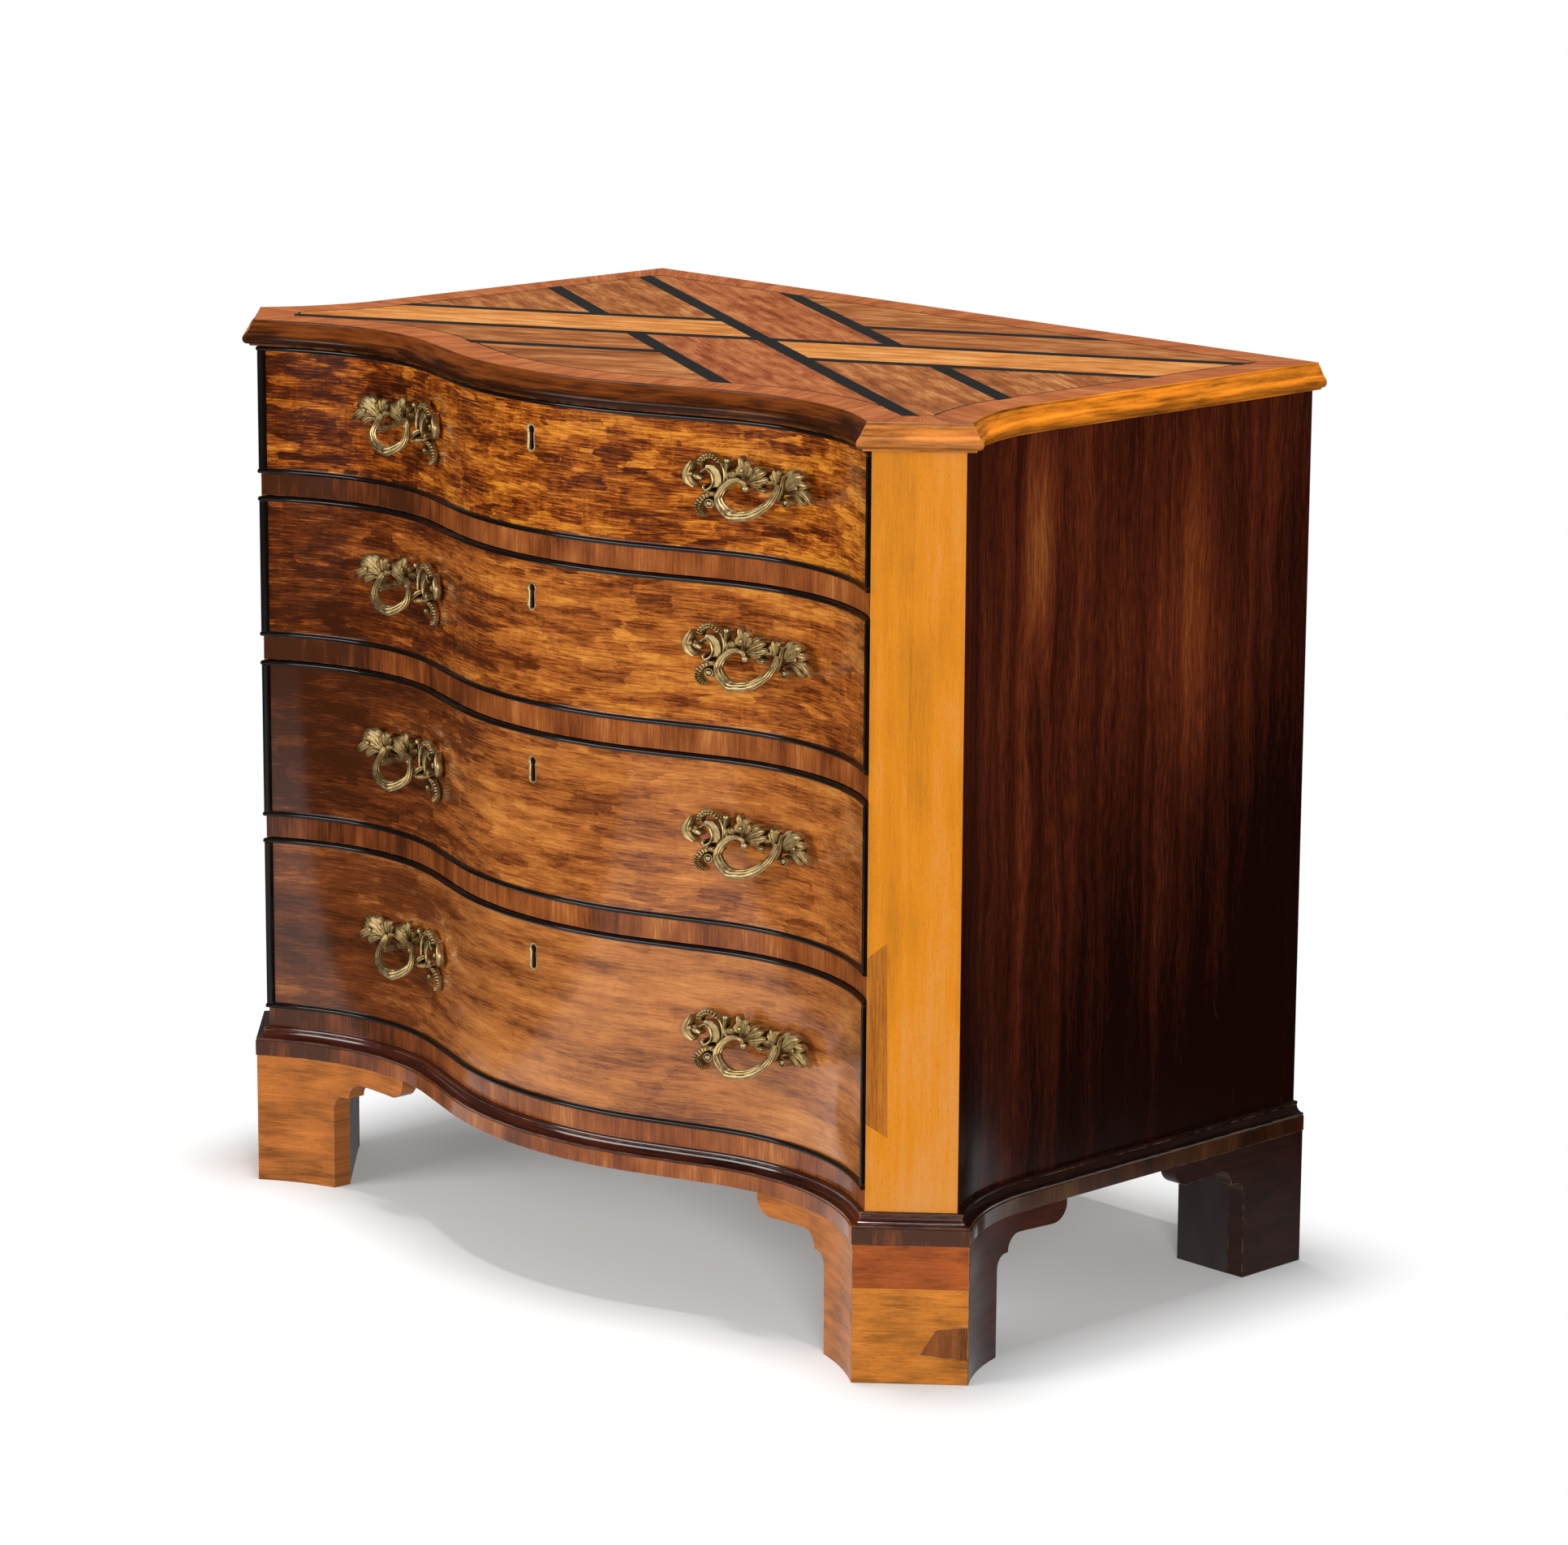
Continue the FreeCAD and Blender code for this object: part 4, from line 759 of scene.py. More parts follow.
class COMMODE_OT_top(bpy.types.Operator):
    """Leaf with its parquetry fields, crossbanded border and edge moulding"""
    bl_idname = "commode.top"
    bl_label = "Top"

    # The inlay's diagonal bands: slope in plan, and spacing front to back
    BAND_SLOPE = 0.537
    BAND_SPACING = 0.12
    BACK_STEPS = 12

    def execute(self, context):
        line = curve()
        sizes = plan()
        self.leaf(line, sizes)
        self.field(line, sizes)
        self.border(line, sizes)
        self.edge(line, sizes)
        repaint("top_inlay", ebonised())
        return {"FINISHED"}

    def outline(self, line, offset, back):
        """Whole plan outline, from the left corner along the front and round the back."""
        side = line.side(offset, back)
        right = line.cant(offset)[1:] + side[1:]
        return line.front(offset) + right + mirrored(right)

    def leaf(self, line, sizes):
        """Board under the veneers, mortised for the first drawer's bolt."""
        outline = self.outline(line, sizes.leaf_overhang, TOP_BACK_Y)
        loops = standing(outline, 1, (CARCASE_TOP, TOP_Z - LEAF_SINK))
        mesh = sweep(loops, [0.0, TOP_Z - CARCASE_TOP])
        add_piece("top_leaf", mesh, "carcase", moulding_wood("brown"), ["top_panel"],
                  cutters=[bolt_pocket(1)])

    def field(self, line, sizes):
        """Planks between the ebonised bands, each with its own grain direction and tone."""
        mesh, layer = new_mesh()
        offset = sizes.leaf_overhang - sizes.crossband
        outline = self.outline(line, offset, TOP_BACK_Y - sizes.crossband)
        z = TOP_Z - FIELD_SINK
        mesh.faces.new([mesh.verts.new((p.x, p.y, z)) for p in outline])
        slope, spacing = self.BAND_SLOPE, self.BAND_SPACING
        middle = (TOP_BACK_Y - line.shift - sizes.leaf_overhang) / 2 + line.shift
        for sign in (1, -1):
            for shift in (-spacing, 0.0, spacing):
                bmesh.ops.bisect_plane(mesh, geom=mesh.verts[:] + mesh.edges[:] + mesh.faces[:],
                                       plane_co=(0, middle + shift, z), plane_no=(-sign * slope, 1, 0))
        for plank in mesh.faces:
            centre = plank.calc_center_median()
            along_q = centre.y - middle - slope * centre.x
            along_p = centre.y - middle + slope * centre.x
            golden = along_p * along_q < 0 and abs(along_q) < spacing
            quarter = (1 if along_p > 0 else 0) + (2 if along_q > 0 else 0)
            outer = abs(along_q if quarter in (1, 2) else along_p) > spacing
            lean = 1 if quarter in (1, 2) else -1
            if outer:
                lean = -lean
            direction = Vector((1, lean * slope)).normalized()
            across = Vector((-direction.y, direction.x))
            seed = quarter * 3.7 + (1.9 if outer else 0.0)
            for loop in plank.loops:
                place = loop.vert.co.xy
                loop[layer] = (place.dot(direction), place.dot(across), seed)
            plank.material_index = 0 if golden else 1 + outer
        piece = add_piece("top_field", mesh, "carcase", top_planks("Light"))
        piece.data.materials.append(top_planks("Red"))
        piece.data.materials.append(top_planks("Brown"))

    def border(self, line, sizes):
        """Crossbanding: grain square to the edge, in pieces mitred at the corners and along the back."""
        mesh, layer = new_mesh()
        outer = sizes.leaf_overhang
        inner = outer - sizes.crossband
        z = TOP_Z - BORDER_SINK
        back_in = TOP_BACK_Y - sizes.crossband
        outside = line.stretches(outer, TOP_BACK_Y)
        inside = line.stretches(inner, back_in)
        for seed, name in enumerate(outside):
            self.strip(mesh, layer, outside[name], inside[name], z, sizes.crossband, seed * 2.3)
        far, near = self.back_run(outside), self.back_run(inside)
        self.strip(mesh, layer, far, near, z, sizes.crossband, 15.0)
        add_piece("top_crossband", mesh, "carcase", top_crossband())
        self.string(line, sizes, z + STRING_RISE)

    def back_run(self, stretches):
        """Points along the back, between the ends of the two sides."""
        left, right = stretches["side_left"][0], stretches["side_right"][-1]
        return [left.lerp(right, i / self.BACK_STEPS) for i in range(self.BACK_STEPS + 1)]

    def string(self, line, sizes, z):
        """Thin ebonised line between the border and the field."""
        mesh, layer = new_mesh()
        outer = sizes.leaf_overhang - sizes.crossband
        back = TOP_BACK_Y - sizes.crossband
        outside = self.outline(line, outer, back)
        inside = self.outline(line, outer - sizes.string, back - sizes.string)
        self.strip(mesh, layer, outside + outside[:1], inside + inside[:1], z, sizes.string, 0.0)
        add_piece("top_string", mesh, "carcase", ebonised())

    def strip(self, mesh, layer, outside, inside, z, width, seed):
        """Flat veneer between two runs of points, with its grain across it."""
        along = run_lengths(outside)
        for i in range(len(outside) - 1):
            corners = [outside[i], outside[i + 1], inside[i + 1], inside[i]]
            places = ((0, i), (0, i + 1), (width, i + 1), (width, i))
            grains = [(across, along[k], seed) for across, k in places]
            add_face(mesh, layer, [mesh.verts.new((p.x, p.y, z)) for p in corners], grains)

    def edge(self, line, sizes):
        """Edge moulding: a round nose under an ogee slope and a small fillet, mitred at the corners."""
        nose, lip, low = sizes.top_overhang, sizes.leaf_overhang, CARCASE_TOP
        nose_radius, fillet_radius, swell, steps = 0.005, 0.001, 0.06, 8
        foot, foot_z = nose - 0.0026, low + 0.0118
        head, head_z = lip + 0.0012, TOP_Z - 0.002
        profile = [(lip, low), (nose - 0.0065, low), (nose - 0.006, low + 0.0018)]
        profile += arc_profile((nose - nose_radius, low + 0.007), nose_radius, -85, 50, steps)
        for k in range(steps + 1):
            share = k / steps
            rise = share - swell * math.sin(2 * math.pi * share)
            profile.append((foot + (head - foot) * share, foot_z + (head_z - foot_z) * rise))
        profile += arc_profile((lip + 0.0002, TOP_Z - fillet_radius), fillet_radius, 0, 90, 4)
        profile.append((lip, TOP_Z))
        for name in line.stretches(0.0, TOP_BACK_Y):
            mesh = moulded(lambda offset: line.stretches(offset, TOP_BACK_Y)[name], profile, 1.7)
            kind = {"front": "brown", "cant_right": "tan", "cant_left": "tan"}.get(name, "golden")
            node = ["top_edge_moulding"] if name == "front" else []
            add_piece("top_moulding_" + name, mesh, "carcase", moulding_wood(kind), node, sharp=50)


class COMMODE_OT_carcase(bpy.types.Operator):
    """Sides, posts, blades and bottom rail"""
    bl_idname = "commode.carcase"
    bl_label = "Carcase"

    RAIL_DEPTH, BLADE_DEPTH = 0.024, 0.05

    def execute(self, context):
        line = curve()
        sizes = plan()
        for name, sign in (("right", 1), ("left", -1)):
            self.side(line, sizes, name, sign)
            self.post(line, name, sign)
        for node in ("drawer_blade_1", "drawer_blade_2", "drawer_blade_3", "bottom_rail"):
            self.rail(line, sizes, node)
        return {"FINISHED"}

    def side(self, line, sizes, name, sign):
        """Flared side with a rebate for the back's boards."""
        outer = line.side(0.0, BACK_Y)
        inner = sizes.corner_x
        rebate_in, rebate_y = inner + 0.01, BACK_Y - 0.012
        low, high = heights("side_right")
        outline = outer + [Vector((rebate_in, BACK_Y)), Vector((rebate_in, rebate_y)),
                           Vector((inner, rebate_y)), Vector((inner, outer[0].y))]
        mesh = sweep(standing(outline, sign, (low, high)), [low, high], sign * 4.0)
        add_piece("side_%s_panel" % name, mesh, "carcase", side_wood(), ["side_" + name])

    def post(self, line, name, sign):
        """Three-sided post behind the cant."""
        low, high = heights("corner_post_right")
        start, end = line.corner, line.outer
        outline = line.placed([start, end, Vector((start.x, end.y))])
        mesh = sweep(standing(outline, sign, (low, high)), [low, high], sign * 2.0)
        add_piece("post_%s" % name, mesh, "carcase", honey_wood(), ["corner_post_" + name], bevel=0.0006)

    def rail(self, line, sizes, node):
        """Rail with a crossbanded face: the grain stands upright."""
        low, high = heights(node)
        half = sizes.corner_x
        deep = -self.RAIL_DEPTH if node == "bottom_rail" else -self.BLADE_DEPTH
        profile = [(deep, low), (0.0, low), (0.0, high), (deep, high)]
        mesh = moulded(lambda offset: line.front(offset, half), profile, low * 9.0, cross=True)
        cutters = [] if node == "bottom_rail" else [bolt_pocket(int(node[-1]) + 1)]
        add_piece(node + "_veneered", mesh, "carcase", crossband_veneer("brown"), [node], cutters=cutters)


class COMMODE_OT_base(bpy.types.Operator):
    """Base moulding over a crossbanded plinth band"""
    bl_idname = "commode.base"
    bl_label = "Base"

    def execute(self, context):
        line = curve()
        sizes = plan()
        edge = sizes.band_overhang
        low = BAND_TOP
        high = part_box("base_moulding")[1][2]
        eased, cove = 0.0006, 0.0066
        step, rim = edge - 0.0022, edge - 0.0082
        profile = [(0.0, low), (edge - 0.001, low), (edge - eased, low + eased), (edge - eased, low + 0.0022),
                   (step, low + 0.0026)]
        profile += arc_profile((step, high - 0.003), cove, 270, 180, 7, (high - low - 0.0056) / cove)
        profile += [(rim, high - 0.0026), (rim, high - 0.0004), (edge - 0.0086, high), (0.0, high)]
        band = [(0.0, FOOT_TOP), (edge - eased, FOOT_TOP), (edge, FOOT_TOP + eased), (edge, BAND_TOP - eased),
                (edge - eased, BAND_TOP), (0.0, BAND_TOP)]
        for name in line.stretches(0.0, BACK_Y):
            dark_side = name.startswith("side")
            moulding = moulding_wood("black" if dark_side else "dark")
            veneer = crossband_veneer("dark" if dark_side else "brown")
            for node, section, seed, finish, cross, sharp in (
                    ("base_moulding", profile, 3.1, moulding, False, 50),
                    ("plinth_band", band, 5.3, veneer, True, 35)):
                mesh = moulded(lambda offset: line.stretches(offset, BACK_Y)[name], section, seed, cross)
                add_piece("%s_%s" % (node, name), mesh, "carcase", finish, [node] if name == "front" else [],
                          sharp=sharp)
        return {"FINISHED"}


class COMMODE_OT_feet(bpy.types.Operator):
    """Bracket feet: shaped wings on the front and the sides, canted corners, plain brackets behind"""
    bl_idname = "commode.feet"
    bl_label = "Feet"

    def execute(self, context):
        line = curve()
        sizes = plan()
        outer = sizes.band_overhang - sizes.foot_setback
        inner = outer - sizes.bracket
        for name, sign in (("right", 1), ("left", -1)):
            fronts = [list(reversed(line.front(offset))) for offset in (outer, inner)]
            sides = [line.side(offset, BACK_Y) for offset in (outer, inner)]
            add_piece("front_%s_foot_front" % name, self.bracket(fronts, 0, -1, sizes, sign, sign * 1.3),
                      "carcase", foot_wood("golden"), ["front_%s_foot" % name], bevel=0.0012)
            self.corner(line, outer, inner, name, sign)
            add_piece("front_%s_foot_side" % name, self.bracket(sides, 1, 1, sizes, sign, sign * 2.3),
                      "carcase", foot_wood("dark"), bevel=0.0012)
            self.rear(line, sizes, outer, inner, name, sign)
        return {"FINISHED"}

    def edge(self, leg, sizes):
        """Lower edge of a bracket: distance from the corner, and height."""
        turn, step, scoop, wing_round = 0.012, 0.005, 0.015, 0.017
        leg_top = sizes.soffit - scoop - turn
        wing_low = sizes.soffit - 0.002
        end = leg + sizes.wing
        points = [(leg * i / 6, 0.0) for i in range(6)] + [(leg - 0.0003, 0.0)]
        points += arc_profile((leg + turn, leg_top), turn, 180, 90, 6)
        points += arc_profile((leg + turn + step + scoop, sizes.soffit - scoop), scoop, 180, 90, 7)
        # The soffit dips a little toward the end of the wing
        points += [(leg + 0.045, sizes.soffit - 0.0006), (leg + 0.06, sizes.soffit - 0.0013)]
        return points + arc_profile((end - wing_round, wing_low + wing_round), wing_round, 270, 355, 7)

    def board(self, places, sign, seed, top=FOOT_TOP):
        """Mesh over (outer point, inner point, distance, lower edge), up to a height."""
        stations, along = [], []
        for out, back, away, low in places:
            corners = ((out, low), (out, top), (back, top), (back, low))
            stations.append([Vector((sign * p.x, p.y, z)) for p, z in corners])
            along.append(away)
        return sweep(stations, along, seed, upright=True)

    def bracket(self, faces, axis, way, sizes, sign, seed):
        """Front or side bracket between two parallels, from its mitre; way is the direction on the axis."""
        starts = [face[0][axis] for face in faces]
        edge = self.edge(sizes.leg, sizes)
        shrink = 1 - way * (starts[1] - starts[0]) / edge[-1][0]
        places = []
        for away, low in edge:
            out = on_run(faces[0], axis, starts[0] + way * away)
            back = on_run(faces[1], axis, starts[1] + way * away * shrink)
            places.append((out, back, away, low))
        return self.board(places, sign, seed)

    def corner(self, line, outer, inner, name, sign):
        """Canted corner in two boards, the upper one redder."""
        seam = 0.086
        outs, backs = line.cant(outer), line.cant(inner)
        for part, low, high, kind in (("lower", 0.0, seam, "honey"), ("upper", seam, FOOT_TOP, "red")):
            places = [(out, back, away, low) for out, back, away in zip(outs, backs, run_lengths(outs))]
            mesh = self.board(places, sign, sign * 3.1 + low, high)
            add_piece("front_%s_foot_cant_%s" % (name, part), mesh, "carcase", foot_wood(kind), bevel=0.0008)

    def rear(self, line, sizes, outer, inner, name, sign):
        """Side bracket from the back corner, and a plain bracket across the back."""
        faces = [line.side(offset, BACK_Y) for offset in (outer, inner)]
        places = []
        for away, low in self.edge(sizes.rear_leg, sizes):
            places.append((on_run(faces[0], 1, BACK_Y - away), on_run(faces[1], 1, BACK_Y - away), away, low))
        add_piece("rear_%s_foot_side" % name, self.board(places, sign, sign * 4.3), "carcase",
                  foot_wood("black"), ["rear_%s_foot" % name], bevel=0.0015)
        x = faces[1][-1].x
        end, leg, drop = x - 0.15, x - 0.062, 0.015
        outline = [(x, 0.0), (x, FOOT_TOP), (end, FOOT_TOP), (end, sizes.soffit), (leg, sizes.soffit - drop),
                   (leg, 0.0)]
        stations = [[Vector((sign * a, y, z)) for a, z in outline] for y in (BACK_Y - sizes.bracket, BACK_Y)]
        mesh = sweep(stations, [0.0, sizes.bracket], sign * 6.1)
        add_piece("rear_%s_foot_back" % name, mesh, "carcase", foot_wood("black"), bevel=0.0012)


class COMMODE_OT_drawers(bpy.types.Operator):
    """Veneered fronts, cock beads and keyholes of the four drawers"""
    bl_idname = "commode.drawers"
    bl_label = "Drawers"

    # Keyhole: radius of the head, half the waist, radius of the foot; head over and foot under the middle
    KEYHOLE_HEAD, KEYHOLE_WAIST, KEYHOLE_FOOT = 0.0057, 0.0046, 0.0054
    KEYHOLE_RISE, KEYHOLE_DROP = 0.0077, 0.0125
    # Brass thread in it: wall, depth, how far it stands proud, chamfer
    THREAD_WALL, THREAD_DEPTH, THREAD_PROUD, THREAD_CHAMFER = 0.0022, 0.0034, 0.0004, 0.0009

    def execute(self, context):
        line = curve()
        sizes = plan()
        for number in DRAWERS:
            body = "drawer_%d" % number
            self.front(line, sizes, number, body)
            self.beads(line, sizes, number, body)
            self.escutcheon(line, body)
        return {"FINISHED"}

    def keyhole(self, body, wall):
        """Round head over a body that widens downward, as x and z."""
        low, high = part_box(body + "_escutcheon")
        middle = (low.z + high.z) / 2
        head, waist, foot = (r - wall for r in (self.KEYHOLE_HEAD, self.KEYHOLE_WAIST, self.KEYHOLE_FOOT))
        neck = math.degrees(math.acos(waist / head))
        points = arc_profile((0.0, middle + self.KEYHOLE_RISE), head, -neck, 180 + neck, 24)
        return points + arc_profile((0.0, middle - self.KEYHOLE_DROP + wall + foot), foot, 180, 360, 12)

    def front(self, line, sizes, number, body):
        """Veneered front, cut through for the keyhole and out for the lock."""
        node = body + "_front"
        low, high = heights(node)
        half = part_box(node)[1][0]
        profile = [(-sizes.front_thick, low), (0.0, low), (0.0, high), (-sizes.front_thick, high)]
        mesh = moulded(lambda offset: line.front(offset, half), profile, number * 5.0)
        face = line.front_y(0.0)
        hole = bmesh.new()
        through, past = face - 0.01, face + 0.03
        loops = [[(x, y, z) for x, z in self.keyhole(body, 0.0)] for y in (through, past)]
        for ring in walls(hole, loops):
            hole.faces.new(ring)
        lock_low, lock_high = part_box(body + "_lock")
        spare = Vector((CUT_SPARE, CUT_SPARE, CUT_SPARE))
        open_back, open_top = 0.03, 0.002
        lock = block(lock_low - spare, lock_high + Vector((CUT_SPARE, open_back, open_top)))
        add_piece(node + "_veneered", mesh, body, front_veneer(number), [node], cutters=[hole, lock])

    def beads(self, line, sizes, number, body):
        """Two strips along the serpentine and two upright ones, each with a rounded face."""
        node = body + "_cockbead"
        low, high = heights(node)
        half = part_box(node)[1][0]
        thick = sizes.bead
        face = arc_profile((sizes.bead_proud - thick / 2, thick / 2), thick / 2, -90, 90, 8)
        deep = -sizes.front_thick
        for part, foot in (("lower", low), ("upper", high - thick)):
            profile = [(deep, foot)] + [(offset, foot + up) for offset, up in face] + [(deep, foot + thick)]
            mesh = moulded(lambda offset: line.front(offset, half), profile, foot)
            cutters = [bolt_pocket(number)] if part == "upper" else []
            replaces = [] if part == "upper" else [node]
            add_piece("%s_%s" % (node, part), mesh, body, ebonised(), replaces, cutters=cutters)
        uprights = new_mesh()
        outline = [(half - thick + up, offset) for offset, up in [(deep, 0.0)] + face + [(deep, thick)]]
        for sign in (-1, 1):
            loops = []
            for z in (low + thick, high - thick):
                loops.append([Vector((sign * x, line.front_y(x, offset), z)) for x, offset in outline])
            sweep(loops, [0.0, high - low], into=uprights)
        add_piece(node + "_uprights", uprights[0], body, ebonised())

    def escutcheon(self, line, body):
        """Thread of brass round the keyhole, a hair proud."""
        face = line.front_y(0.0) - self.THREAD_PROUD
        back, sloped = face + self.THREAD_DEPTH, face + self.THREAD_CHAMFER
        stations = []
        for outer, inner in zip(self.keyhole(body, 0.0), self.keyhole(body, self.THREAD_WALL)):
            rim = Vector(outer).lerp(Vector(inner), 0.6)
            corners = ((outer, back), (outer, face), (rim, face), (inner, sloped), (inner, back))
            stations.append([Vector((p[0], y, p[1])) for p, y in corners])
        mesh = sweep(stations, [0.0] * len(stations), closed=True)
        node = body + "_escutcheon"
        add_piece(node + "_thread", mesh, body, aged_brass(), [node], bevel=0.0002)


class COMMODE_OT_pulls(bpy.types.Operator):
    """Cast rococo pulls, one pattern and its mirror image, laid to the hollows of the fronts"""
    bl_idname = "commode.pulls"
    bl_label = "Pulls"

    # Millimetres outward, up and off the face, from the middle of the pull.
    # Spine, widths and tops along it, ribs, depth of its groove.
    SCROLLS = (
        (((-54, 18), (-52, 23), (-46.5, 27), (-40.5, 27), (-34.5, 23.5), (-30, 22), (-25.5, 25)),
         (5.5, 6, 6, 5.5, 4.5, 4, 5.5), (10, 12, 12.5, 12, 11, 12), 14, 0.3),
        (((-62, 21.5), (-64, 16), (-66, 9.5), (-64.5, 3.5), (-60, -1)),
         (2, 7, 9, 9, 4), (8, 10, 10.5, 10, 8), 0, 0.35),
        (((-61, 10.5), (-56.5, 8), (-53, 6)), (6, 6.5, 3), (9, 9.5, 8), 0, 0.0),
        (((-52.5, 12.5), (-48, 15.5), (-43.5, 14.5), (-40.5, 9), (-40, 4), (-43, -1), (-47, -2.5),
          (-48.7, 0.5), (-45.7, 2)),
         (2.5, 3, 3, 3, 3, 3.4, 3.4, 3, 2.5), (9.5, 11, 11.5, 11.5), 0, 0.0),
        (((-33, 22), (-30, 17), (-28.7, 9.5), (-30, 2.5)), (2.5, 3, 2.5), (11, 12), 0, 0.0),
        (((-25.5, 25), (-27.5, 19), (-27, 10.5), (-22, 8.5)), (5, 3.5, 3, 4), (12.5, 11.5, 12.5), 0, 0.3),
        (((-36, -4), (-46, -7), (-52.5, -10.5), (-57, -16), (-57, -21), (-54, -24.5), (-50.5, -25.5)),
         (5, 6, 6.5, 6.5, 6, 6, 4.5), (10, 9, 8.5, 8.5, 8), 14, 0.2),
        (((-51, -2), (-45, -4.5), (-39, -5.5), (-30, -7)), (3, 4.5, 5.5, 6), (10, 11.5, 16), 9, 0.0),
        (((-35, 2), (-30, -1), (-26, -5)), (5, 6, 6), (11, 15, 20), 0, 0.3),
        (((31, -4), (34, 6), (36.5, 15), (42, 20)), (4, 5, 4.5, 3), (18, 15, 14.5, 13), 0, 0.4),
        (((13, 9), (17, 10), (24.5, 11), (30, 7.5), (31.5, 0)),
         (3.5, 4, 4.5, 5, 4), (13, 14, 15, 18), 10, 0.2),
    )
    # Base, tip, width, sideways bend of the spine, top.
    LEAVES = (
        # Small leaves on the curl of the grip
        ((-21, 7), (-27.5, 15.5), 4.2, 0, 11), ((-19.5, 7), (-24, 17), 4.2, 0, 11.5),
        ((-17.5, 7.5), (-20, 17.3), 4.4, 0, 12), ((-15.5, 8), (-16.5, 17), 4.4, 0, 12.5),
        ((-13, 8.5), (-12.5, 16), 4.4, 0, 13),
        # Spray over the grip
        ((-7, 11), (-15, 22), 5.5, 1.5, 14), ((-7, 11), (-12, 24), 5.5, 0, 15.5),
        ((-7, 11), (-9.5, 31), 7, -1, 17), ((-6, 11), (-2.5, 28.5), 6, -1, 16.5),
        ((-5, 11), (1.5, 23), 6.5, -1.5, 15.5),
        # Fan beside it
        ((-5, 9), (7, 21.5), 7, 2, 13.5), ((-5, 8.5), (13, 22.5), 8, 2, 14.5),
        ((-5, 8), (18, 20), 8.5, 1, 15), ((-5, 7.5), (20, 14), 8, -0.5, 14.5),
        ((-5, 7), (13.5, 8.5), 7, -1, 13.5), ((0, 6), (17.5, 3), 6, -1.5, 13),
        # Spray at the grip's outer end
        ((29.5, 7), (21.5, 20), 5.5, 1, 13.5), ((29.5, 7), (26, 24.5), 6, 0, 14.5),
        ((30, 7), (32, 24), 6, 0, 14.5), ((31, 7), (38, 20), 5.5, -0.5, 13.5),
        # Long leaves outward
        ((35, 5), (52, 24), 10, 3, 13), ((35, 4), (62, 21), 12, 4, 13.5), ((35, 3.5), (67, 13), 12, 4, 13.5),
        ((36, 4), (73, -1.5), 10, 7, 13), ((40, 3), (61.5, -5), 8, 4, 12),
    )
    # Places, radius and top.
    BOSSES = ((-44, -14.5, 4.2, 9.5), (37.5, -4.8, 4.6, 11.5))
    STUDS = ((-61, 10.5, 2.4, 11.5), (-6.6, 18.5, 1.8, 18), (54.5, 10, 2, 15.5), (-25.5, 25, 2.7, 13.5),
             (-7, 2.2, 3.2, 14))
    PANEL = ((-46.8, 19), (-40, 19), (-35.5, 15), (-33, 9.5), (-32.8, 1.6), (-41.5, 0), (-41.5, 6.5),
             (-43, 11.4), (-47.5, 16))
    PANEL_MIDDLE = (-39, 9)
    GRIP = ((-7, 2.5, 12), (-8, 7.5, 13), (-13, 9.5, 15), (-19, 7, 16.5), (-24.5, -1, 19), (-24, -9, 22),
            (-14.5, -15.6, 27), (-3, -18.8, 31), (9, -17.6, 32), (18.5, -15, 30), (26, -10, 27),
            (30.5, -4.5, 22), (31.5, 2.3, 16.5), (31, 9, 12.5))
    GRIP_RADII = (1.7, 1.9, 2.2, 2.8, 3.5, 4.2, 4.7, 4.7, 4.4, 4.0, 3.6, 3.2, 3.0)
    RAISED = 0.00025    # metres, over the middle of the front

    def execute(self, context):
        line = curve()
        sizes = plan()
        mesh = bmesh.new()

        def lay(u, w, h):
            """A place on the pull, laid to the hollow of the front."""
            x = sizes.pull_x + u / 1000
            return Vector((x, line.front_y(x, h / 1000), w / 1000))

        for spine, widths, heights, ribs, groove in self.SCROLLS:
            self.scroll(mesh, lay, smooth_run(spine, 14 if ribs else 7), widths, heights, ribs, groove)
        for leaf in self.LEAVES:
            self.leaf(mesh, lay, *leaf)
        for boss in self.BOSSES:
            self.boss(mesh, lay, *boss)
        for stud in self.STUDS:
            self.dome(mesh, lay, *stud)
        self.plate(mesh, lay)
        self.grip(mesh, lay)
        right = self.cast(mesh, "pull_right")
        left = right.copy()
        left.name = "pull_left"
        left.transform(Matrix.Scale(-1, 4, (1, 0, 0)))
        left.flip_normals()
        for number in DRAWERS:
            front_low, front_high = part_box("drawer_%d_cockbead" % number)
            for name, data in (("right", right), ("left", left)):
                piece = bpy.data.objects.new("drawer_%d_pull_%s" % (number, name), data)
                bpy.context.scene.collection.objects.link(piece)
                piece.location.z = (front_low.z + front_high.z) / 2 + self.RAISED
                replaced = ["drawer_%d_handles" % number] if name == "right" else ()
                dress(piece, "drawer_%d" % number, replaced)
        return {"FINISHED"}

    def cast(self, mesh, name):
        """Mesh of the whole pull, in brass."""
        bmesh.ops.recalc_face_normals(mesh, faces=mesh.faces)
        data = bpy.data.meshes.new(name)
        mesh.to_mesh(data)
        mesh.free()
        data.shade_smooth()
        data.set_sharp_from_angle(angle=math.radians(50))
        data.materials.append(aged_brass())
        return data

    def skin(self, mesh, rows, ring=False):
        """Quads between rows of points, with the first and last row filled where they are rings."""
        made = [[mesh.verts.new(p) for p in row] for row in rows]
        count = len(made[0])
        for before, after in zip(made, made[1:]):
            for j in range(count if ring else count - 1):
                k = (j + 1) % count
                mesh.faces.new((before[j], before[k], after[k], after[j]))
        if ring:
            mesh.faces.new(made[0])
            mesh.faces.new(made[-1])

